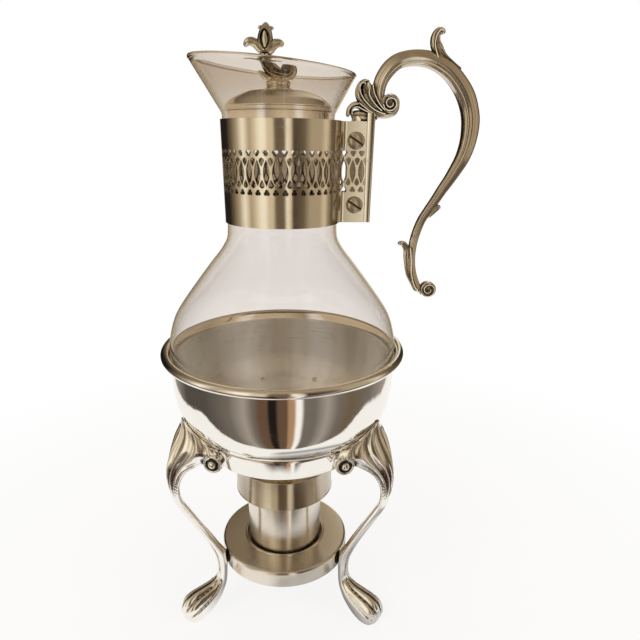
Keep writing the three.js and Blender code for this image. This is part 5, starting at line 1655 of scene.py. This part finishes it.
class CARAFE_OT_studio(Operator):
    """Set the pale table, the room light, the lamps and the camera"""
    bl_idname = "carafe.studio"
    bl_label = "Studio"

    def execute(self, context):
        scene = context.scene
        s = scene.studio_settings
        scene.view_settings.view_transform = "Standard"
        world = scene.world or bpy.data.worlds.new("room")
        scene.world = world
        world.use_nodes = True
        tree = world.node_tree
        tree.nodes.clear()
        path = add(tree, "ShaderNodeLightPath").outputs
        straight = maths(tree, "MAXIMUM", path["Is Camera Ray"], path["Is Transmission Ray"])
        unmirrored = maths(tree, "LESS_THAN", path["Glossy Depth"], 0.5)
        plain = times(tree, straight, unmirrored)
        room = room_light(tree, path["Is Transmission Ray"])
        seen = blend(tree, plain, room, (1, 1, 1, 1))
        light = add(tree, "ShaderNodeBackground", None, {"Color": seen, "Strength": 1.0})
        add(tree, "ShaderNodeOutputWorld", None, {"Surface": light.outputs[0]})

        floor = bmesh.new()
        bmesh.ops.create_grid(floor, x_segments=1, y_segments=1, size=30)
        mesh = mesh_of(floor, "table_top")
        table = linked("table_top", mesh)
        mesh.materials.append(self.table_material(s))

        for name, place, size, power, tint in LAMPS:
            lamp = bpy.data.lights.new(name, "AREA")
            lamp.size, lamp.energy, lamp.color = size, power, tint
            holder = linked(name, lamp)
            holder.location = place
            holder.rotation_euler = (LAMP_AIM - Vector(place)).to_track_quat("-Z", "Y").to_euler()
            holder.visible_glossy = False
            holder.visible_transmission = False

        data = bpy.data.cameras.new("camera")
        data.lens, data.sensor_width = s.lens, 36
        data.clip_start, data.clip_end = 0.01, 100
        camera = linked("camera", data)
        camera.matrix_world = (
            Matrix.Translation(s.camera_place) @ Matrix.Rotation(-s.yaw, 4, "Z")
            @ Matrix.Rotation(math.pi / 2 - s.pitch, 4, "X") @ Matrix.Rotation(s.roll, 4, "Z")
        )
        scene.camera = camera
        return {"FINISHED"}

    @staticmethod
    def table_material(s):
        """White to the eye, with the object's shadow; mirrored only as far as the table's front."""
        material, tree, shader = new_material("pale_table")
        out = tree.nodes["Material Output"]
        shader.inputs["Base Color"].default_value = solid(s.floor)
        shader.inputs["Roughness"].default_value = 0.9
        parts = split(tree, add(tree, "ShaderNodeNewGeometry").outputs["Position"])
        path = add(tree, "ShaderNodeLightPath").outputs
        flat = joint(tree, parts[0], parts[1])
        away = size_of(tree, flat)
        mirrored = maths(tree, "GREATER_THAN", path["Glossy Depth"], 0.5)

        # Seen straight on: white, with the object's shadow near it
        glow = emission(tree, (1, 1, 1, 1))
        whiteness = remap(tree, away, 0.12, 0.5, 0.86, 1.0)
        lit = mixed(tree, whiteness, shader.outputs[0], glow)

        # Mirrored: a glowing pale patch, a painted reflection of the table, with painted shadow under the stand
        # and painted shade on its right
        right = remap(tree, away, 0.088, 0.098, 0.7, 0.3)
        left = remap(tree, parts[0], -0.055, -0.030, 0.95, right)
        near = times(tree, left, remap(tree, away, 0.05, 0.085, 0.4, 1.0))
        beyond = remap(tree, away, 0.100, 0.122)
        shade = add(tree, "ShaderNodeMix", None, {0: beyond, 2: near, 3: 0.95}).outputs[0]
        sheen = emission(tree, joint(tree, shade, times(tree, shade, 0.985), times(tree, shade, 0.95)))

        # The patch ends in an uneven line, and what lies beyond it is the room
        front = maths(tree, "DIVIDE", times(tree, parts[1], -1.0), s.table_front)
        back = maths(tree, "DIVIDE", parts[1], TABLE_BACK)
        inside = joint(tree, maths(tree, "DIVIDE", parts[0], TABLE_SIDE), maths(tree, "MAXIMUM", front, back))
        wave = noise(tree, flat, 16.0, 1.0)
        edge = remap(tree, plus(tree, size_of(tree, inside), times(tree, wave, 0.12)), 1.03, 1.09)
        far = mixed(tree, edge, sheen, add(tree, "ShaderNodeBsdfTransparent").outputs[0])
        both = mixed(tree, mirrored, lit, far)
        tree.links.new(both, out.inputs["Surface"])
        return material


class CARAFE_PT_pieces(Panel):
    """Lists the pieces and their settings"""
    bl_idname = "CARAFE_PT_pieces"
    bl_label = "Carafe on Warming Stand"
    bl_space_type = "VIEW_3D"
    bl_region_type = "UI"
    bl_category = "Carafe"

    def draw(self, context):
        for kind in OPERATORS:
            self.layout.operator(kind.bl_idname)
        for name in SETTINGS:
            box = self.layout.box()
            box.label(text=name.replace("_", " ").capitalize())
            group = getattr(context.scene, name)
            for key in group.__annotations__:
                box.prop(group, key)


OPERATORS = (
    CARAFE_OT_studio, CARAFE_OT_bowl, CARAFE_OT_tray, CARAFE_OT_legs, CARAFE_OT_rivets, CARAFE_OT_burner,
    CARAFE_OT_flask, CARAFE_OT_neck_band, CARAFE_OT_handle, CARAFE_OT_clamp, CARAFE_OT_lid, CARAFE_OT_finial,
)
SETTINGS = {
    "stand_sizes": StandSizes, "burner_sizes": BurnerSizes, "carafe_sizes": CarafeSizes,
    "lid_sizes": LidSizes, "finish_colours": FinishColours, "studio_settings": StudioSettings,
}


def register():
    for kind in (*SETTINGS.values(), *OPERATORS, CARAFE_PT_pieces):
        bpy.utils.register_class(kind)
    for name, kind in SETTINGS.items():
        setattr(bpy.types.Scene, name, PointerProperty(type=kind))


def unregister():
    for name in SETTINGS:
        delattr(bpy.types.Scene, name)
    for kind in reversed((*SETTINGS.values(), *OPERATORS, CARAFE_PT_pieces)):
        bpy.utils.unregister_class(kind)


def main():
    register()
    bpy.ops.carafe.studio()
    bpy.ops.carafe.bowl()
    bpy.ops.carafe.tray()
    bpy.ops.carafe.legs()
    bpy.ops.carafe.rivets()
    bpy.ops.carafe.burner()
    bpy.ops.carafe.flask()
    bpy.ops.carafe.neck_band()
    bpy.ops.carafe.handle()
    bpy.ops.carafe.clamp()
    bpy.ops.carafe.lid()
    bpy.ops.carafe.finial()


if __name__ == "__main__":
    main()
